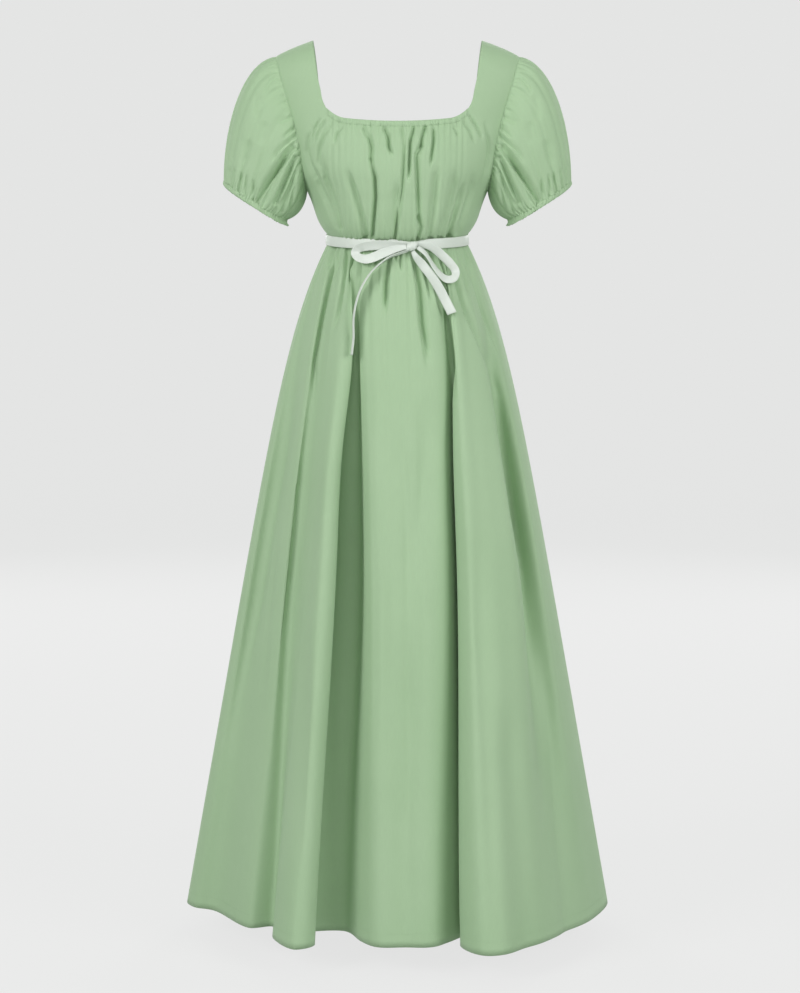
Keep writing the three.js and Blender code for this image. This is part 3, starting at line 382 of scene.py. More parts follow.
SLEEVE_CREASES = crease_table("""
left right depth at_start at_end path
1.3 9 5 0.8 0.7 158,-157 170,-173 184,-191 200,-213 218,-241
4.2 4.2 4.2 0.5 0.6 158,-172 166,-190 176,-212 190,-243
2.4 4.5 2.2 0.5 0.6 157,-196 163,-213 171,-234 181,-256
2.2 3 1.4 0.3 0.4 159,-214 163,-230 168,-250
1.6 6 1.6 0.9 0 157,-138 170,-149 186,-163 201,-185
1.8 4 1.2 0.9 0 155,-122 166,-131 180,-144
2 4 0.9 0.9 0 163,-107 174,-113 186,-121
3 2.4 0.9 0.6 0 187,-42 197,-51 205,-62 209,-76
7 5 1.2 0 0 214,-70 219,-92 221,-116
9 7 1.3 0 0 206,-112 210,-134 214,-156
1.8 2.6 1.3 1 0 250,-225 247,-210 244,-190
1.8 2.6 1.3 1 0 261,-219 259,-205 256,-184
1.6 2.4 1 1 0 268,-214 267,-200 265,-182
1.8 2.4 1.1 1 0 239,-232 238,-215 237,-192
1.8 2.4 1 1 0 228,-238 226,-222 226,-200
9 7 1.3 0 0.2 232,-140 238,-164 244,-186
""")

# The bow. proud is the distance from the sash or skirt to the ribbon's nearer edge, turn the angle of the ribbon's
# width to the picture plane, lean its angle to the horizontal seen from the front.
KNOT = {"x": 22, "z": -310, "half_width": 8.5, "half_height": 7, "half_depth": 4, "gap": 0.5, "reach": 0.16,
        "narrowing": 0.3, "pleats": 3, "pleat_depth": 0.7, "sag": 1.5, "pinch": 0.14, "fullness": 3.2, "creases": 9,
        "crease_depth": 0.07, "slant": 1.1, "tilt": 1.4}
LOOP_LEFT = table("""
x z proud width turn lean
13.6 -308.6 1 6 20 88
4 -308.2 1 10 16 90
-14 -308 1 14 14 90
-34 -308.4 1.2 15 14 92
-50 -310 1.4 15 16 106
-61 -314 1.8 14.5 20 140
-65.5 -320.5 2.4 14 22 182
-60 -327 3.2 14 20 232
-48 -329.6 4.2 14.5 16 266
-36 -326.4 5.2 15 14 286
-21 -320 6.2 14.5 12 291
-5 -314.6 6.4 11.5 12 288
7 -312 6 8.5 14 282
13.6 -311.2 5 6 16 276
""")
LOOP_RIGHT = table("""
x z proud width turn lean
30 -307.6 1.6 6 20 88
39 -307.6 2 10 18 78
54 -311.4 2.6 13.5 16 58
69 -323.5 3 14 16 46
82 -336.5 3.4 14 18 36
90 -348.5 4 13.5 20 6
87 -359 4.2 13 22 -62
76 -360.5 4 13 30 -108
65.5 -352.5 3.4 13 50 -132
55.5 -339.5 3 13 62 -144
46.5 -325 3 11 60 -145
38.5 -316.5 4 8.5 36 -140
31 -311.6 5.4 6 16 -128
""")
TAIL_LEFT = table("""
x z proud width turn lean
17.6 -316 2.6 5 50 70
5 -320 2 8 62 70
-13 -327 2 10 72 62
-27 -337 2 13 76 50
-39 -348 2 15.5 78 40
-50 -363 2 15.5 80 30
-59 -381 2 15.5 82 20
-65 -402 2 15.5 84 10
-68 -424 2 15.5 84 5
-68 -450 2 15.5 82 4
-71 -477 2 15.5 80 4
""")
TAIL_RIGHT = table("""
x z proud width turn lean
23.5 -317.6 3 6 14 30
28.5 -326 3 10 16 36
38 -337.5 3.2 14 16 38
49.5 -352 3.6 14.5 16 36
61 -369 3.4 15 16 30
72.5 -390 3 15.5 18 26
84.3 -413.5 2.8 15.5 20 25
""")
TAIL_ROOM = {"x": 12, "z": 4}

# Stitches: length, gap between two, thickness, and the row of the casing or cuff that they lie on
STITCH = {"length": 2.4, "gap": 0.9, "radius": 0.22, "row": 2}

CLOTH_COLOURS = {"deep": (0.383, 0.55, 0.333, 1), "pale": (0.435, 0.595, 0.384, 1)}
RIBBON_COLOURS = {"deep": (0.7, 0.745, 0.705, 1), "pale": (0.78, 0.81, 0.77, 1)}
THREAD_COLOUR = (0.34, 0.49, 0.3, 1)
PAPER = {"colour": (0.09, 0.09, 0.09, 1), "roughness": 0.9, "glow": 0.745}
FLOOR_Z = -1.42
BOWL = {"floor_radius": 7.0, "bend": 3.0, "height": 9.0, "steps": 24, "sides": 96}

# Lights: name, place, size and power
LIT_PLACE = (0, 0, -0.6)
LIGHT_COLOUR = (1.0, 0.97, 1.0)
LIGHTS = [
    ("left key", (-3.3, -3.0, 1.3), (1.8, 2.4), 104),
    ("right key", (3.3, -3.0, 1.0), (1.8, 2.4), 88),
    ("back key", (-1.8, 4.2, 1.1), (1.8, 2.4), 60),
    ("back key", (1.8, 4.2, 1.1), (1.8, 2.4), 60),
    ("front fill", (0, -4.4, 0.9), (2.4, 1.6), 30),
]
AMBIENT = {"colour": (0.82, 1, 0.8, 1), "strength": 0.33}


# Curves and waves

def curve_through(keys, values):
    """A smooth curve through a short table that never overshoots its values"""
    slopes = np.diff(values) / np.diff(keys)
    before = np.concatenate([slopes[:1], slopes])
    after = np.concatenate([slopes, slopes[-1:]])
    same_way = before * after > 0
    tangents = np.where(same_way, 2 * before * after / np.where(same_way, before + after, 1), 0)

    def value(key):
        i = np.clip(np.searchsorted(keys, key, side="right") - 1, 0, len(keys) - 2)
        span = keys[i + 1] - keys[i]
        t = np.clip((key - keys[i]) / span, 0, 1)
        return hermite(values[i], values[i + 1], tangents[i] * span, tangents[i + 1] * span, t)

    return value


def hermite(start, end, start_slope, end_slope, t):
    """The cubic between two values with those slopes"""
    rise = t * t * (3 - 2 * t)
    return start * (1 - rise) + end * rise + start_slope * t * (1 - t) ** 2 + end_slope * t * t * (t - 1)


def lerp(a, b, t):
    return a + (b - a) * t


def smooth(t):
    t = np.clip(t, 0, 1)
    return t * t * (3 - 2 * t)


def bell(distance):
    return np.exp(-(distance**2))


half_width_at, front_depth_at, back_depth_at, arm_x_at = (
    curve_through(SECTIONS["z"], SECTIONS[name]) for name in ("half_width", "front", "back", "arm_x"))
strap_x_at = curve_through(STRAP_EDGE["z"], STRAP_EDGE["x"])


def uneven_waves(at, count, seed):
    """Soft ridges and narrow troughs, about count of them for at from 0 to 1, uneven in spacing and depth"""
    rng = np.random.default_rng(seed)
    knots = np.linspace(0, 1, count + 1)
    drift = rng.uniform(-WAVE["drift"], WAVE["drift"], count + 1)
    height = rng.uniform(WAVE["least"], 1, count + 1)
    drift[-1], height[-1] = drift[0], height[0]
    phase = at * count + np.interp(at, knots, drift)
    trough = (0.5 + 0.5 * np.cos(2 * math.pi * phase)) ** 2
    return -np.interp(at, knots, height) * trough


def fine_waves(kind, at, share, seed):
    """Small gathers at a seam that fade with the share of the length away from it"""
    count, depth, reach, start = FINE_WAVES[kind]
    rise = smooth(share / start) if start else 1
    return depth * uneven_waves(at, count, seed) * np.exp(-share / reach) * rise


def broad_waves(kind, at, seed):
    count, depth = BROAD_WAVES[kind]
    return depth * uneven_waves(at, count, seed)


def puckers(kind, at, across, seed):
    """The puckers of a band on elastic, deepest at its two edges"""
    counts, seeds, depth, edge = PUCKERS[kind]
    waves = uneven_waves(at, counts[0], seed + seeds[0]) + 0.5 * uneven_waves(at, counts[1], seed + seeds[1])
    return depth * waves * lerp(1 - edge, 1, np.abs(2 * across - 1))


def crease_depth(points, creases):
    """How far the cloth sinks at each point for a list of creases, as seen from the front"""
    x, z = points[..., 0], points[..., 2]
    total = np.zeros_like(x)
    for (left, right, depth, at_start, at_end), path in creases:
        steps = np.linalg.norm(np.diff(path, axis=0), axis=1)
        run = np.concatenate([[0], np.cumsum(steps)])
        best = np.full_like(x, np.inf)
        side = np.zeros_like(x)
        along = np.zeros_like(x)
        for (ax, az), (bx, bz), start, step in zip(path[:-1], path[1:], run, steps):
            t = np.clip(((x - ax) * (bx - ax) + (z - az) * (bz - az)) / step**2, 0, 1)
            dx, dz = x - lerp(ax, bx, t), z - lerp(az, bz, t)
            distance = np.hypot(dx, dz)
            nearer = distance < best
            best = np.where(nearer, distance, best)
            side = np.where(nearer, dx, side)
            along = np.where(nearer, (start + t * step) / run[-1], along)
        width = np.where(side < 0, left, right)
        middle = smooth(along / CREASE["start"]) * smooth((1 - along) / CREASE["end"])
        ends = np.where(along < 0.5, at_start, at_end)
        shape = lerp(ends, 1, middle) * bell(best / width) * fade_past_ends(x, z, path, width)
        total += CREASE["depth"] * depth * (1 + CREASE["narrow"] / (left + right)) * shape
    return total


def fade_past_ends(x, z, path, width):
    """Less than 1 beyond the two ends of a path, so that a crease doesn't end in a dot"""
    share = np.ones_like(x)
    for end, inner in ((path[0], path[1]), (path[-1], path[-2])):
        out = (end - inner) / np.linalg.norm(end - inner)
        beyond = (x - end[0]) * out[0] + (z - end[1]) * out[1]
        share *= np.exp(-np.maximum(beyond, 0) / (CREASE["past_end"] * width))
    return share


def seam_ditch(distance):
    """The cloth turns in along a seam"""
    return SEAM_DITCH["depth"] * bell(distance / SEAM_DITCH["reach"])


def side_ditches(grid):
    """The ditches along a grid's first and last columns"""
    steps = np.linalg.norm(np.diff(grid, axis=1), axis=2)
    run = np.pad(np.cumsum(steps, axis=1), ((0, 0), (1, 0)))
    return seam_ditch(run) + seam_ditch(run[:, -1:] - run)


# Grids of points. Seen from outside, columns run to the right and rows run up.

def normals_of(grid, cyclic=False):
    if cyclic:
        along = np.roll(grid, -1, axis=1) - np.roll(grid, 1, axis=1)
    else:
        along = np.gradient(grid, axis=1)
    normal = np.cross(along, np.gradient(grid, axis=0))
    return normal / np.maximum(np.linalg.norm(normal, axis=2, keepdims=True), 1e-9)


def raised(grid, height, cyclic=False):
    """The grid moved out along its normals"""
    return grid + normals_of(grid, cyclic) * height[..., None]


def cloth_uv(grid, cyclic):
    """Lengths along the cloth in metres, from its middle column and its lowest row"""
    closed = np.concatenate([grid, grid[:, :1]], axis=1) if cyclic else grid
    across = np.linalg.norm(np.diff(closed, axis=1), axis=2)
    rise = np.linalg.norm(np.diff(closed, axis=0), axis=2)
    u = np.pad(np.cumsum(across, axis=1), ((0, 0), (1, 0)))
    v = np.pad(np.cumsum(rise, axis=0), ((1, 0), (0, 0)))
    middle = u.shape[1] // 2
    return np.stack([u - u[:, middle:middle + 1], v], axis=-1) * MM


def grid_mesh(name, grid, cyclic=False, keep=None):
    """A one-layer mesh of quads with its cloth UVs"""
    rows, columns = grid.shape[:2]
    index = np.arange(rows * columns).reshape(rows, columns)
    following = np.roll(index, -1, axis=1)
    quads = np.stack([index[:-1], following[:-1], following[1:], index[1:]], axis=-1)
    uv = cloth_uv(grid, cyclic)
    corners = np.stack([uv[:-1, :-1], uv[:-1, 1:], uv[1:, 1:], uv[1:, :-1]], axis=2)
    if not cyclic:
        quads = quads[:, :-1]
    if keep is not None:
        quads, corners = quads[keep], corners[keep]
    used, quads = np.unique(quads.reshape(-1, 4), return_inverse=True)
    mesh = smooth_mesh(name, grid.reshape(-1, 3)[used], quads.reshape(-1, 4).tolist())
    mesh.uv_layers.new(name="cloth").data.foreach_set("uv", corners.astype(np.float32).ravel())
    return mesh


def smooth_mesh(name, points, faces):
    mesh = bpy.data.meshes.new(name)
    mesh.from_pydata((points * MM).tolist(), [], faces)
    mesh.polygons.foreach_set("use_smooth", [True] * len(mesh.polygons))
    return mesh


def add_object(name, mesh, material):
    piece = bpy.data.objects.new(name, mesh)
    bpy.context.scene.collection.objects.link(piece)
    piece.data.materials.append(material)
    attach(piece, "root")
    return piece


def shell(node, grid, slot="cloth", thickness=CLOTH, cyclic=False, keep=None):
    """A thin shell on the outside of its solid, in the solid's place"""
    piece = add_object(f"{node}_cloth", grid_mesh(node, grid, cyclic, keep), MATERIALS[slot])
    wall = piece.modifiers.new("wall", "SOLIDIFY")
    wall.thickness = thickness * MM
    wall.offset = -1
    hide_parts(node)
    return piece


# Bodice

def waist_z(angle, face=FRONT):
    """The height of the waist seam, which dips in front"""
    dip = WAIST["dip"] * np.maximum(np.cos(angle), 0) if face == FRONT else 0 * angle
    return WAIST["side_z"] - dip


def shoulder_z(x):
    share = (x - SHOULDER["neck_x"]) / (SHOULDER["tip_x"] - SHOULDER["neck_x"])
    return lerp(SHOULDER["neck_z"], SHOULDER["tip_z"], share)


def neckline_z(x):
    beyond = (np.abs(x) - NECKLINE["sweep_x"]) / (NECKLINE["corner_x"] - NECKLINE["sweep_x"])
    rise = NECKLINE["corner_rise"] * np.clip(beyond, 0, 1) ** 2
    return NECKLINE["mid_z"] + NECKLINE["sweep"] * (x / NECKLINE["sweep_x"]) ** 2 + rise


def angle_at(x, z):
    return np.arcsin(np.clip(x / half_width_at(z), -1, 1))


def section_level(face, angle, z):
    """Near the waist the sections follow the dip of its seam, and the blouse pulls in just above the sash"""
    near = np.clip(1 - (z - WAIST["side_z"]) / WAIST["dip_reach"], 0, 1)
    level = z + (WAIST["side_z"] - waist_z(angle, face)) * near
    up = np.clip((level - WAIST["side_z"]) / WAIST["dip_reach"], 0, 1)
    pull_in = lerp(WAIST["side_pull_in"], WAIST["pull_in"], np.maximum(np.cos(angle), 0))
    return np.where(up < 1, WAIST["side_z"] + WAIST["dip_reach"] * up**pull_in, level)


def body_point(face, angle, z, below):
    """A place on the bodice's form, below being its distance from the shoulder seam"""
    level = section_level(face, angle, z)
    depth = front_depth_at(level) if face == FRONT else back_depth_at(level)
    reach = np.clip(below / SHOULDER["round_over"], 0, 1)
    over = np.sqrt(1 - (1 - reach) ** 2)
    y = face * (HALF_SEAM + depth * np.maximum(np.cos(angle), 0) * over)
    return np.stack([half_width_at(level) * np.sin(angle), y, z], axis=-1)


def corner_x(face):
    return NECKLINE["corner_x"] + (NECKLINE["back_spread"] if face == BACK else 0)


def middle_place(face, at, share):
    """angle, z and distance below the shoulder of a place on the gathered middle, at running from -1 to 1"""
    foot_angle = at * math.radians(FOOT_ANGLE)
    top_x = at * corner_x(face)
    top_z = neckline_z(top_x)
    z = lerp(waist_z(foot_angle, face) + HALF_SEAM, top_z, share)
    return lerp(foot_angle, angle_at(top_x, top_z), share), z, shoulder_z(np.abs(top_x)) - z


def panel_share(row):
    return np.interp(row, np.arange(NECK_ROW + 1), PANEL_SHARES)


def neck_place(face, row):
    """The column from the waist to the neck corner and on along the strap's inner edge"""
    low = middle_place(face, np.ones_like(row), panel_share(row))
    share = np.sin(math.pi / 2 * np.clip((row - NECK_ROW) / (LAST_ROW - NECK_ROW), 0, 1))
    z = lerp(neckline_z(corner_x(face)), SHOULDER["neck_z"], share)
    x = strap_x_at(z) + (corner_x(face) - NECKLINE["corner_x"]) * (1 - share)
    high = angle_at(x, z), z, shoulder_z(x) - z
    return [np.where(row <= NECK_ROW, a, b) for a, b in zip(low, high)]


def arm_place(row):
    """The column up the side seam and on along the armhole"""
    side = np.interp(row, np.arange(UNDERARM_ROW + 1), SIDE_SHARES)
    low_z = lerp(WAIST["side_z"] + HALF_SEAM, UNDERARM_Z, side)
    turn = math.pi * np.clip((row - UNDERARM_ROW) / (LAST_ROW - UNDERARM_ROW), 0, 1)
    high_z = lerp(UNDERARM_Z, SHOULDER["tip_z"], 0.5 - 0.5 * np.cos(turn))
    z = np.where(row <= UNDERARM_ROW, low_z, high_z)
    x = arm_x_at(z)
    angle = np.where(row <= UNDERARM_ROW, math.pi / 2, angle_at(x, z))
    below = np.where(row <= UNDERARM_ROW, shoulder_z(SHOULDER["tip_x"]), shoulder_z(x)) - z
    return angle, z, below


def side_point(face, row, share, side):
    """A place between the neck corner's column and the arm's, share running from 0 to 1"""
    near, far = neck_place(face, row), arm_place(row)
    angle, z, below = (lerp(a, b, share) for a, b in zip(near, far))
    z = z + (waist_z(angle, face) + HALF_SEAM - z) * np.clip(1 - row, 0, 1)
    return body_point(face, angle * side, z, below)


def gather_depth(column, share, gathers):
    """Troughs at the gathers: narrow and deep under the casing and over the sash, shallow at the bust"""
    total = np.zeros_like(column)
    for at, foot, neck, bust, waist in zip(*gathers.values()):
        top = neck * np.exp(-(1 - share) / GATHER["neck_reach"]) * smooth((1 - share) / GATHER["neck_start"])
        low = waist * np.exp(-share / GATHER["waist_reach"])
        middle = bust * np.sin(math.pi * share)
        width = GATHER["width"] * (1 + GATHER["widening"] * np.sin(math.pi * share))
        total += (top + low + middle) * bell((column - lerp(foot, at, share)) / width)
    return total


def bodice_panel(face, gathers, creases, seed):
    """The panel's grid, the cells that exist and the columns of its gathered middle"""
    column = np.concatenate([
        np.linspace(-2, -1, POINTS["panel_side"], endpoint=False),
        np.linspace(-1, 1, POINTS["panel_middle"], endpoint=False),
        np.linspace(1, 2, POINTS["panel_side"] + 1),
    ])
    row = np.concatenate([np.linspace(0, NECK_ROW, POINTS["panel_low"], endpoint=False),
                          np.linspace(NECK_ROW, LAST_ROW, POINTS["panel_high"])])
    if face == BACK:
        column = -column
    c, r = np.meshgrid(column, row)
    share = panel_share(r)
    middle = body_point(face, *middle_place(face, np.clip(c, -1, 1), share))
    beside = side_point(face, r, np.abs(c) - 1, np.sign(c))
    base = np.where((np.abs(c) < 1)[..., None], middle, beside)
    low = r <= NECK_ROW
    inside = np.clip((1 - np.abs(c)) / GATHER["side_fade"] + 0.5, 0, 1) * low
    fine = fine_waves("neckline", (np.clip(c, -1, 1) + 1) / 2, 1 - share, seed)
    height = inside * (fine - gather_depth(c, share, gathers))
    height += fine_waves("blouse", np.clip((c + 2) / 4, 0, 1), share, seed + 1) * low
    height -= crease_depth(base, creases) + side_ditches(base)
    keep = (np.abs(c[:-1, :-1] + c[:-1, 1:]) / 2 > 1) | (r[:-1, :-1] < NECK_ROW)
    first, last = np.flatnonzero(np.abs(column) <= 1 + TINY)[[0, -1]]
    return {"grid": raised(base, height), "keep": keep, "first": first, "last": last, "row": row}


def neck_casing(panel, seed):
    """The elastic casing along the neckline, with its small puckers and a rounded upper edge"""
    low = np.flatnonzero(panel["row"] >= NECK_ROW - 1)[0]
    top = np.flatnonzero(panel["row"] <= NECK_ROW + TINY)[-1]
    band = panel["grid"][low:top + 1, panel["first"]:panel["last"] + 1]
    at, across = np.meshgrid(np.linspace(0, 1, band.shape[1]), np.linspace(0, 1, band.shape[0]))
    swell = CASING["clearance"] + CASING["swell"] * np.sin(math.pi * across) ** CASING["roundness"]
    ends = smooth(np.minimum(at, 1 - at) / CASING["end_fade"])
    return raised(band, swell + puckers("neckline", at, across, seed) * ends)


# Sleeves

def armhole_ring(turn, out=SEAM_GAP):
    """A ring out from the armhole's edge on the right, turn running from the underarm over the front"""
    ring = np.zeros(turn.shape + (3,))
    for face, part in ((FRONT, turn <= math.pi), (BACK, turn > math.pi)):
        sweep = turn[part] if face == FRONT else 2 * math.pi - turn[part]
        row = UNDERARM_ROW + (LAST_ROW - UNDERARM_ROW) * sweep / math.pi
        edge = side_point(face, row, 1.0, 1)
        away = edge - side_point(face, row, NEAR_EDGE, 1)
        away /= np.maximum(np.linalg.norm(away, axis=-1, keepdims=True), TINY)
        ring[part] = edge + away * out
    return ring


def with_allowance(grid, edge):
    """The grid with its seam allowance as one more row, which lies behind the next piece"""
    inward = edge.mean(axis=0) - edge
    inward /= np.linalg.norm(inward, axis=1, keepdims=True)
    return np.concatenate([grid, (edge + inward * SEAM_ALLOWANCE["under"])[None]])


CUFF_CENTRE = np.array([(CUFF["outer_x"] + CUFF["inner_x"]) / 2, 0, (CUFF["outer_z"] + CUFF["inner_z"]) / 2])
CUFF_SPAN = np.array([CUFF["outer_x"] - CUFF["inner_x"], 0, CUFF["outer_z"] - CUFF["inner_z"]])
CUFF_AXIS = np.array([CUFF_SPAN[2], 0, -CUFF_SPAN[0]]) / np.linalg.norm(CUFF_SPAN)


def cuff_point(turn):
    forward = np.sin(turn)[..., None]
    point = CUFF_CENTRE - 0.5 * CUFF_SPAN * np.cos(turn)[..., None]
    point = point + CUFF_AXIS * CUFF["front_drop"] * np.maximum(forward, 0)
    point[..., 1] = -CUFF["half_depth"] * forward[..., 0]
    return point


def sleeve_base(turn, share):
    """The smooth puff: a cubic from the armhole to the cuff for each turn"""
    lift = (1 - np.cos(turn)) / 2
    forward = np.sin(turn)
    side = np.abs(forward)
    out = np.stack([
        lerp(PUFF["under_out"], PUFF["top_out"], lift),
        -PUFF["forward"] * forward,
        PUFF["side_lift"] * side - lerp(PUFF["under_drop"], PUFF["top_drop"], lift),
    ], axis=-1)
    back = np.stack([
        lerp(-PUFF_END["under_tuck"], PUFF_END["top_out"], lift) - PUFF_END["side_tuck"] * side,
        -PUFF_END["forward"] * forward,
        lerp(PUFF_END["under_rise"], PUFF_END["top_rise"], lift),
    ], axis=-1)
    start, end = armhole_ring(turn), cuff_point(turn)
    t = share[..., None]
    return (start * (1 - t) ** 3 + 3 * (start + out) * t * (1 - t) ** 2
            + 3 * (end + back) * t * t * (1 - t) + end * t**3)


def sleeve_grid(seed):
    """The right sleeve from the cuff up to the armhole"""
    even = np.linspace(0, 1, POINTS["sleeve_round"], endpoint=False)
    at = even - SLEEVE_DENSER["by"] * np.sin(2 * math.pi * (even - SLEEVE_DENSER["at"])) / (2 * math.pi)
    at, share = np.meshgrid(at % 1, 1 - np.linspace(0, 1, POINTS["sleeve_long"]))
    turn = 2 * math.pi * at
    base = sleeve_base(turn, share)
    height = np.zeros_like(at)
    count = len(SLEEVE_GATHERS["cap"])
    for i, depths in enumerate(zip(*SLEEVE_GATHERS.values())):
        depth = np.interp(share, SLEEVE_GATHER["shares"], [0, *depths, SLEEVE_GATHER["end_depth"]])
        apart = (at - (i + 1 / 3) / count + 0.5) % 1 - 0.5
        height -= depth * bell(apart / SLEEVE_GATHER["width"])
    height += fine_waves("cap", at, share, seed)
    height += fine_waves("cuff", at, 1 - share, seed + 1)
    height += broad_waves("sleeve", at, seed + 2) * np.sin(math.pi * share)
    height -= SLEEVE_DITCH["depth_share"] * seam_ditch(share * SLEEVE_DITCH["length"])
    front = smooth(-normals_of(base, True)[..., 1] / SLEEVE_FRONT)
    height -= front * crease_depth(base, SLEEVE_CREASES)
    return with_allowance(raised(base, height, True), armhole_ring(turn[-1], -SEAM_ALLOWANCE["width"]))


def cuff_grid(seed):
    """The right cuff: a puckered band round its elastic, with a rounded lower edge"""
    turn, across = np.meshgrid(np.linspace(0, 2 * math.pi, POINTS["cuff_round"], endpoint=False),
                               np.linspace(1, 0, POINTS["cuff_high"]))
    end = cuff_point(turn)
    drawn = end + (CUFF_CENTRE - end) * (CUFF["drawn_in"] * across**2)[..., None]
    hang = lerp(CUFF_AXIS, np.array(CUFF_HANG), across[..., None])
    base = drawn + CUFF_AXIS * SEAM_GAP + hang * (CUFF["height"] * across)[..., None]
    height = CUFF["proud"] + CUFF["swell"] * np.sin(math.pi * across) ** CUFF["roundness"]
    height += puckers("cuff", turn / (2 * math.pi), across, seed)
    return with_allowance(raised(base, height, True), end[-1] - CUFF_AXIS * SEAM_ALLOWANCE["width"])


def mirrored(grid):
    """The left sleeve's grid, its rows turned so that they keep facing out"""
    return (grid * [-1, 1, 1])[::-1]


# Skirt

def waist_point(angle, distance, z):
    """A place at that distance out from the waist's oval"""
    depth = np.where(np.cos(angle) > 0, WAIST["front"], WAIST["back"])
    out_x, out_y = np.sin(angle) / WAIST["half_width"], -np.cos(angle) / depth
    length = np.hypot(out_x, out_y)
    x = WAIST["half_width"] * np.sin(angle) + out_x / length * distance
    y = -depth * np.cos(angle) + out_y / length * distance
    return np.stack([x, y, z + 0 * x], axis=-1)


def fold_value(name, ring):
    """A value of the fold table between its rows, the table being closed on itself"""
    values = SKIRT_FOLDS[name]
    row = np.floor(ring).astype(int)
    before, start, end, after = (values[(row + i) % len(values)] for i in (-1, 0, 1, 2))
    return hermite(start, end, (end - before) / 2, (after - start) / 2, ring - row)


def ring_angle(ring):
    degrees = np.append(SKIRT_FOLDS["deg"], SKIRT_FOLDS["deg"][0] + 360)
    return np.radians(np.interp(ring, np.arange(len(degrees)), degrees))


def skirt_base(ring, share):
    """The folded skirt without its gathers; share runs from 0 under the sash to 1 at the hem"""
    angle = ring_angle(ring)
    down = np.maximum(share, 0)
    spring = FLARE["straight"] * down + FLARE["spring"] * (1 - np.exp(-down / FLARE["reach"]))
    flare = spring / (FLARE["straight"] + FLARE["spring"] * (1 - math.exp(-1 / FLARE["reach"])))
    knee = smooth(np.where(down < KNEE, down / KNEE, (1 - down) / (1 - KNEE)))
    waist = waist_point(angle, 0, 0)
    x = lerp(waist[..., 0], fold_value("hem_x", ring), flare) + fold_value("shift_x", ring) * knee
    y = lerp(waist[..., 1], fold_value("hem_y", ring), flare) + fold_value("shift_y", ring) * knee
    top = waist_z(angle) - SASH["height"] / 2 - SASH["under"]
    z = np.where(share < 0, top - share * SKIRT["tuck_height"], lerp(top, HEM["z"], share))
    turned = (np.degrees(angle) + 180) % 360 - 180
    upper = np.interp(turned, UPPER_FOLDS["deg"], UPPER_FOLDS["shift_x"], left=0, right=0)
    return np.stack([x + upper * bell((z - UPPER["z"]) / UPPER["reach"]), y, z], axis=-1)


def skirt_half(from_ring, to_ring, creases, detail, seed):
    """One half of the skirt between its side seams"""
    columns = SKIRT_FOLDS["columns"].astype(int) * detail
    ring = np.concatenate([i + np.arange(n) / n for i, n in enumerate(columns)])
    ring = np.append(ring[(ring >= from_ring) & (ring < to_ring)], to_ring - 1e-9)
    share = np.concatenate([SKIRT["tuck"], np.linspace(0, 1, POINTS["skirt_long"]) ** SKIRT["denser"]])[::-1]
    ring, share = np.meshgrid(ring, share)
    base = skirt_base(ring, share)
    around = (ring_angle(ring) / (2 * math.pi)) % 1
    down = np.maximum(share, 0)
    start = smooth((share + SKIRT["start"]) / SKIRT["rise"])
    height = fine_waves("waist", around, down, seed) * lerp(SKIRT["waist_least"], 1, start)
    height += fine_waves("hip", around, down, seed + 1) * start
    height += broad_waves("skirt", around, seed + 2) * np.sin(math.pi * np.clip(share, 0, 1)) ** 2
    height -= crease_depth(base, creases) * lerp(SKIRT["crease_least"], 1, start) + side_ditches(base)
    above_hem = (1 - share) * (WAIST["side_z"] - SASH["height"] / 2 - HEM["z"])
    height -= HEM["ditch"] * bell((above_hem - HEM["turn"]) / HEM["ditch_reach"])
    grid = raised(base, height)
    grid[-2:, :, 2] = base[-2:, :, 2]
    return grid


# Sash and bow

SASH_OUT = SASH["clearance"] + RIBBON + HALF_SEAM + SASH["over_gathers"]
KNOT_ANGLE = math.asin(KNOT["x"] / WAIST["half_width"])


def sash_grid(seed):
    """The ribbon round the waist, drawn in a little by the knot"""
    angle, rise = np.meshgrid(np.linspace(-math.pi / 2, 1.5 * math.pi, POINTS["sash_round"], endpoint=False),
                              np.linspace(-1, 1, POINTS["sash_high"]))
    near_knot = bell((angle - KNOT_ANGLE) / KNOT["reach"])
    half = SASH["height"] / 2 * (1 - KNOT["narrowing"] * near_knot)
    at = ((angle + math.pi / 2) / (2 * math.pi)) % 1
    edge = lerp(SASH["ripple_least"], 1, rise**2)
    ripple = uneven_waves(at, SASH["ripples"], seed) * edge + uneven_waves(at, SASH["bends"], seed + 1)
    distance = SASH_OUT + SASH["swell"] * (ripple + 1 - rise**2)
    distance += KNOT["pleat_depth"] * near_knot * np.cos(rise * KNOT["pleats"] * math.pi)
    return waist_point(angle, distance, waist_z(angle) + rise * half - KNOT["sag"] * near_knot)


def front_y(x, z, skirt):
    """The foremost cloth near a place on the dress's front"""
    angle = math.asin(max(-1, min(1, x / WAIST["half_width"])))
    foremost = waist_point(np.array(angle), SASH_OUT, 0)[1]
    if z > waist_z(0) - SASH["height"] / 2 - SASH["under"]:
        return float(foremost)
    near = (np.abs(skirt[..., 0] - x) < TAIL_ROOM["x"]) & (np.abs(skirt[..., 2] - z) < TAIL_ROOM["z"])
    return float(min(foremost, skirt[near][:, 1].min()))


def spline(points, parts):
    """A smooth line through the points, with parts steps between two of them"""
    padded = np.concatenate([[2 * points[0] - points[1]], points, [2 * points[-1] - points[-2]]])
    row = np.repeat(np.arange(len(points) - 1), parts)
    t = np.tile(np.arange(parts) / parts, len(points) - 1)
    row, t = np.append(row, len(points) - 2), np.append(t, 1.0)
    before, start, end, after = (padded[row + i] for i in range(4))
    t = t.reshape((-1,) + (1,) * (points.ndim - 1))
    return hermite(start, end, (end - before) / 2, (after - start) / 2, t)


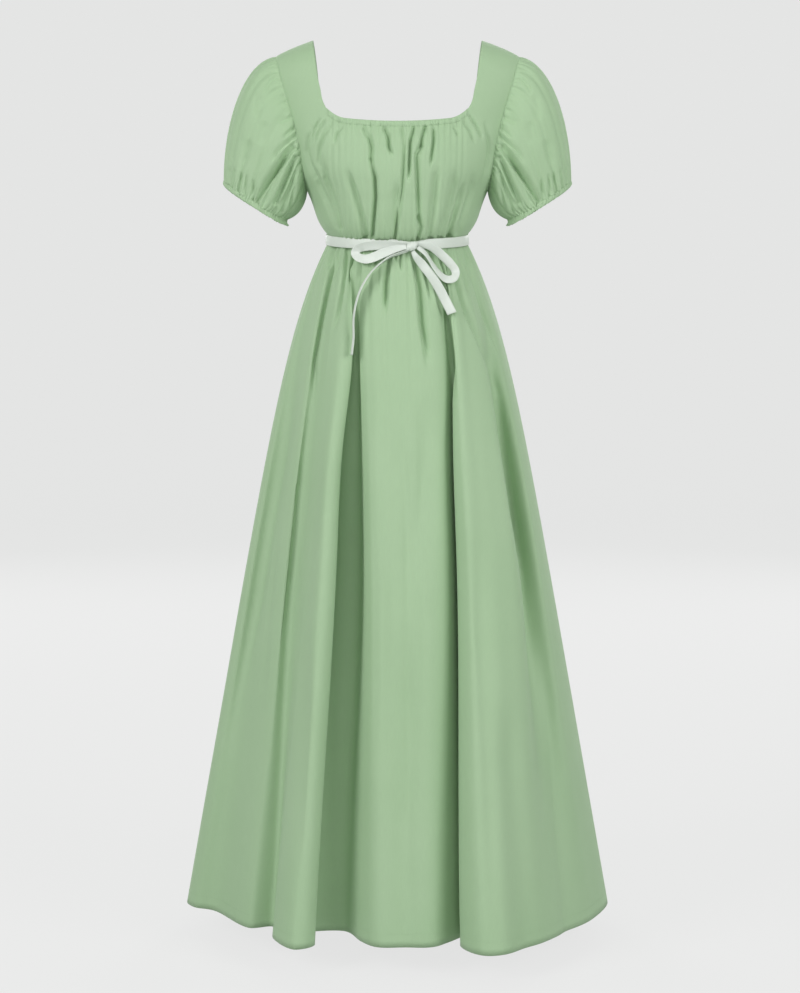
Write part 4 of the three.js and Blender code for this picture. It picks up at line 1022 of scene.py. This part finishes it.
def ribbon_grid(places, skirt, curl, slant=0.0):
    """A ribbon along a table of places. curl bends its width, slant cuts its last end at an angle."""
    line = []
    for x, z, proud, width, turn, lean in zip(*places.values()):
        behind = width / 2 * math.sin(math.radians(turn))
        under = width / 2 * math.cos(math.radians(turn)) * math.sin(math.radians(lean))
        cloth = min(front_y(x, z, skirt), front_y(x, z - under, skirt))
        line.append((x, cloth - proud - behind, z))
    path = spline(np.array(line), POINTS["ribbon_step"])
    width, turn, lean = (spline(places[name], POINTS["ribbon_step"]) for name in ("width", "turn", "lean"))
    turn, lean, width = np.radians(turn), np.radians(lean), width[:, None, None]
    across = np.stack([np.cos(turn) * np.cos(lean), -np.sin(turn), np.cos(turn) * np.sin(lean)], axis=-1)
    forward = np.gradient(path, axis=0)
    face = np.cross(across, forward)
    face /= np.linalg.norm(face, axis=1, keepdims=True)
    side = np.linspace(-0.5, 0.5, POINTS["ribbon_wide"])
    bend = curl * (4 * side**2 - 0.5)
    grid = path[:, None] + across[:, None] * side[None, :, None] * width + face[:, None] * bend[None, :, None]
    step = forward / np.linalg.norm(forward, axis=1, keepdims=True)
    last = smooth(np.linspace(-3, 1, len(path)))
    return grid + step[:, None] * side[None, :, None] * width * slant * last[:, None, None]


def knot_grid():
    """The knot: the ribbon wrapped once over the middle, pinched at both sides"""
    turn, across = np.meshgrid(np.linspace(0, 2 * math.pi, POINTS["knot_round"], endpoint=False),
                               np.linspace(-1, 1, POINTS["knot_wide"]))
    pinch = lerp(KNOT["pinch"], 1, (1 - np.abs(across) ** KNOT["fullness"]) ** 0.5)
    crease = np.cos(across * KNOT["creases"] + 0.9 * np.sin(turn) + 0.6) * np.cos(turn / 2) ** 2
    form = pinch * (1 + KNOT["crease_depth"] * crease)
    x = KNOT["x"] + KNOT["half_width"] * across + KNOT["slant"] * np.sin(turn)
    y = KNOT["half_depth"] * np.cos(turn) * form
    z = KNOT["z"] + KNOT["half_height"] * np.sin(turn) * form + KNOT["tilt"] * across
    front = waist_point(np.array(KNOT_ANGLE), SASH_OUT, 0)[1]
    return np.stack([x, front - KNOT["half_depth"] - KNOT["gap"] - y, z], axis=-1)


# Stitches

def stitch_line(name, grid, row):
    """Thread stitches along one row of a grid"""
    line, out = grid[row], normals_of(grid)[row]
    run = np.concatenate([[0], np.cumsum(np.linalg.norm(np.diff(line, axis=0), axis=1))])
    starts = np.arange(STITCH["gap"], run[-1] - STITCH["length"], STITCH["length"] + STITCH["gap"])

    def at(where, values):
        return np.stack([np.interp(where, run, values[:, k]) for k in range(3)], axis=-1)

    ends = at(starts, line), at(starts + STITCH["length"], line)
    normal = at(starts + STITCH["length"] / 2, out)
    side = np.cross(ends[1] - ends[0], normal)
    side /= np.linalg.norm(side, axis=1, keepdims=True)
    middle = (ends[0] + ends[1]) / 2 + normal * STITCH["radius"]
    ring = [middle + STITCH["radius"] * (side * a + normal * b) for a, b in ((1, 0), (0, 1), (-1, 0), (0, -1))]
    points = np.stack([*ends, *ring], axis=1).reshape(-1, 3)
    faces = [(0, 2, 3), (0, 3, 4), (0, 4, 5), (0, 5, 2), (1, 3, 2), (1, 4, 3), (1, 5, 4), (1, 2, 5)]
    triangles = [(6 * i + a, 6 * i + b, 6 * i + c) for i in range(len(starts)) for a, b, c in faces]
    return add_object(name, smooth_mesh(name, points, triangles), thread)


def hem_row(grid):
    """The row of the skirt where its hem is turned up"""
    return int(np.argmin(np.abs(grid[..., 2].mean(axis=1) - HEM["z"] - HEM["turn"])))


# Materials

class Nodes:
    """Short calls that add and link a material's nodes"""

    def __init__(self, name):
        self.material = bpy.data.materials.new(name)
        self.material.use_nodes = True
        self.tree = self.material.node_tree
        self.shader = self.tree.nodes["Principled BSDF"]

    def add(self, kind, inputs, output=0, **settings):
        node = self.tree.nodes.new(f"ShaderNode{kind}")
        for name, value in settings.items():
            setattr(node, name, value)
        for name, value in inputs.items():
            self.put(node.inputs[name], value)
        return node.outputs[output]

    def put(self, socket, value):
        if isinstance(value, bpy.types.NodeSocket):
            self.tree.links.new(value, socket)
        else:
            socket.default_value = value

    def noise(self, vector, scale, detail):
        return self.add("TexNoise", {"Vector": vector, "Scale": scale, "Detail": detail}, "Fac")

    def between(self, value, low, high):
        return self.add("MapRange", {"Value": value, "To Min": low, "To Max": high})

    def mixed(self, share, colours):
        return self.add("Mix", {0: share, 6: colours["deep"], 7: colours["pale"]}, 2, data_type="RGBA")

    def tinted(self, colour, value, low, high):
        return self.add("HueSaturation", {"Color": colour, "Value": self.between(value, low, high)})

    def bump(self, height, strength, distance, under=None):
        below = {"Normal": under} if under else {}
        return self.add("Bump", {"Height": height, "Strength": strength, "Distance": distance, **below})

    def finish(self, **values):
        """The shader's sockets, named with underscores for spaces"""
        for name, value in values.items():
            self.put(self.shader.inputs[name.replace("_", " ")], value)
        return self.material


def woven(nodes, thread_width, slub):
    """Threads over and under each other, and the slub that makes them uneven"""
    uv = nodes.add("UVMap", {}, "UV", uv_map="cloth")
    turns_per_unit = 2 * math.pi / (20 * thread_width * MM)
    waves = [nodes.add("TexWave", {"Vector": uv, "Scale": turns_per_unit, "Distortion": 0.6}, "Fac",
                       wave_type="BANDS", bands_direction=direction) for direction in "XY"]
    weave = nodes.add("Math", {0: waves[0], 1: waves[1]}, operation="MULTIPLY")
    stretched = nodes.add("Mapping", {"Vector": uv, "Scale": (slub, slub * 0.06, 1)})
    return weave, nodes.noise(stretched, 1.0, 3)


def cloth_material():
    """Matt dress cloth: fine plain weave with faint lengthwise slub, a soft sheen and uneven dye"""
    nodes = Nodes("dress_cloth")
    weave, streaks = woven(nodes, 0.42, 900)
    place = nodes.add("TexCoord", {}, "Object")
    dye = nodes.mixed(nodes.noise(place, 7.0, 2), CLOTH_COLOURS)
    colour = nodes.tinted(nodes.tinted(dye, streaks, 0.94, 1.05), weave, 0.95, 1.03)
    rumple = nodes.bump(nodes.noise(place, 38.0, 3), 0.22, 0.0012)
    threads = nodes.bump(weave, 0.3, 0.0002, nodes.bump(streaks, 0.25, 0.0003, rumple))
    return nodes.finish(Base_Color=colour, Roughness=nodes.between(streaks, 0.62, 0.76), Normal=threads,
                        Sheen_Weight=0.25, Sheen_Roughness=0.45, Sheen_Tint=(0.86, 0.95, 0.86, 1))


def ribbon_material():
    """Off-white satin: fine crosswise ribs and a soft gloss"""
    nodes = Nodes("satin_ribbon")
    weave, streaks = woven(nodes, 0.3, 1400)
    place = nodes.add("TexCoord", {}, "Object")
    dye = nodes.mixed(nodes.noise(place, 24.0, 2), RIBBON_COLOURS)
    ribs = nodes.bump(weave, 0.25, 0.00015, nodes.bump(streaks, 0.2, 0.0002))
    return nodes.finish(Base_Color=nodes.tinted(dye, streaks, 0.95, 1.03), Normal=ribs, Sheen_Weight=0.15,
                        Roughness=nodes.between(streaks, 0.3, 0.42))


def thread_material():
    """Sewing thread with its ply as a fine twist"""
    nodes = Nodes("sewing_thread")
    ply = nodes.noise(nodes.add("TexCoord", {}, "Object"), 2500.0, 1)
    return nodes.finish(Base_Color=nodes.tinted(THREAD_COLOUR, ply, 0.8, 1.1), Roughness=0.55)


MATERIALS = {"cloth": cloth_material(), "ribbon": ribbon_material()}
thread = thread_material()

# The dress

front_panel = bodice_panel(FRONT, FRONT_GATHERS, FRONT_CREASES, 11)
back_panel = bodice_panel(BACK, BACK_GATHERS, BACK_CREASES, 12)
bodice_front = shell("bodice_front", front_panel["grid"], keep=front_panel["keep"])
bodice_back = shell("bodice_back", back_panel["grid"], keep=back_panel["keep"])
casing_grids = neck_casing(front_panel, 21), neck_casing(back_panel, 22)
casing_front = shell("neck_casing_front", casing_grids[0], thickness=CASING["thickness"])
casing_back = shell("neck_casing_back", casing_grids[1], thickness=CASING["thickness"])

sleeve_right = shell("sleeve_right", sleeve_grid(31), cyclic=True)
sleeve_left = shell("sleeve_left", mirrored(sleeve_grid(36)), cyclic=True)
cuff_grids = cuff_grid(41), mirrored(cuff_grid(46))
cuff_right = shell("cuff_right", cuff_grids[0], cyclic=True)
cuff_left = shell("cuff_left", cuff_grids[1], cyclic=True)

front_skirt = skirt_half(0, RIGHT_SEAM, SKIRT_FRONT_CREASES, POINTS["skirt_front"], 51)
back_skirt = skirt_half(RIGHT_SEAM, len(SKIRT_FOLDS["deg"]), SKIRT_BACK_CREASES, POINTS["skirt_back"], 61)
skirt_front = shell("skirt_front", front_skirt)
skirt_back = shell("skirt_back", back_skirt)

sash_band = shell("sash_band", sash_grid(71), "ribbon", RIBBON, cyclic=True)
bow_knot = shell("bow_knot", knot_grid(), "ribbon", RIBBON, cyclic=True)
loop_left, loop_right, tail_left, tail_right = (
    shell(node, ribbon_grid(places, front_skirt, curl, slant), "ribbon", RIBBON) for node, places, curl, slant in (
        ("bow_loop_left", LOOP_LEFT, 0.8, 0),
        ("bow_loop_right", LOOP_RIGHT, 0.8, 0),
        ("sash_tail_left", TAIL_LEFT, 2.2, 0),
        ("sash_tail_right", TAIL_RIGHT, 0.6, 0.06),
    ))

hem_front = stitch_line("hem_stitches_front", front_skirt, hem_row(front_skirt))
hem_back = stitch_line("hem_stitches_back", back_skirt, hem_row(back_skirt))
neck_front = stitch_line("neck_stitches_front", casing_grids[0], STITCH["row"])
neck_back = stitch_line("neck_stitches_back", casing_grids[1], STITCH["row"])
ring_right = stitch_line("cuff_stitches_right", cuff_grids[0], -1 - STITCH["row"])
ring_left = stitch_line("cuff_stitches_left", cuff_grids[1], STITCH["row"])

# Camera, backdrop and lights

def add_camera():
    data = bpy.data.cameras.new("camera")
    data.lens = CAMERA["lens"]
    data.sensor_width = CAMERA["sensor"]
    data.clip_end = CAMERA["reach"]
    camera = bpy.data.objects.new("camera", data)
    camera.location = CAMERA["place"]
    camera.rotation_euler = (math.radians(90 - CAMERA["tilt_down"]), 0, 0)
    bpy.context.scene.collection.objects.link(camera)
    bpy.context.scene.camera = camera


def backdrop():
    """A pale floor that curves up into a wall all round, so that every view has it behind the dress"""
    outline = [(0.001, 0.0), (BOWL["floor_radius"], 0.0)]
    for i in range(1, BOWL["steps"] + 1):
        turn = math.pi / 2 * i / BOWL["steps"]
        outline.append((BOWL["floor_radius"] + BOWL["bend"] * math.sin(turn), BOWL["bend"] * (1 - math.cos(turn))))
    outline.append((outline[-1][0], BOWL["height"]))
    turns = np.linspace(0, 2 * math.pi, BOWL["sides"], endpoint=False)
    grid = np.array([[(r * math.cos(t), r * math.sin(t), FLOOR_Z + z) for t in turns] for r, z in outline])
    mesh = grid_mesh("backdrop", grid / MM, cyclic=True)
    mesh.materials.append(Nodes("backdrop_paper").finish(
        Base_Color=PAPER["colour"], Roughness=PAPER["roughness"], Specular_IOR_Level=0.0,
        Emission_Color=(1, 1, 1, 1), Emission_Strength=PAPER["glow"]))
    stage = bpy.data.objects.new("backdrop", mesh)
    stage.visible_diffuse = False
    stage.visible_shadow = False
    bpy.context.scene.collection.objects.link(stage)


def area_light(name, place, size, power):
    """A soft light that looks at the middle of the dress"""
    data = bpy.data.lights.new(name, "AREA")
    data.shape = "RECTANGLE"
    data.size, data.size_y = size
    data.energy = power
    data.color = LIGHT_COLOUR
    light = bpy.data.objects.new(name, data)
    light.location = place
    x, y, z = (b - a for a, b in zip(place, LIT_PLACE))
    light.rotation_euler = (math.atan2(math.hypot(x, y), -z), 0, math.atan2(y, x) - math.pi / 2)
    bpy.context.scene.collection.objects.link(light)


add_camera()
backdrop()
for light in LIGHTS:
    area_light(*light)

world = bpy.data.worlds.new("studio")
world.use_nodes = True
world.node_tree.nodes["Background"].inputs["Color"].default_value = AMBIENT["colour"]
world.node_tree.nodes["Background"].inputs["Strength"].default_value = AMBIENT["strength"]
bpy.context.scene.world = world
bpy.context.scene.view_settings.view_transform = "Standard"
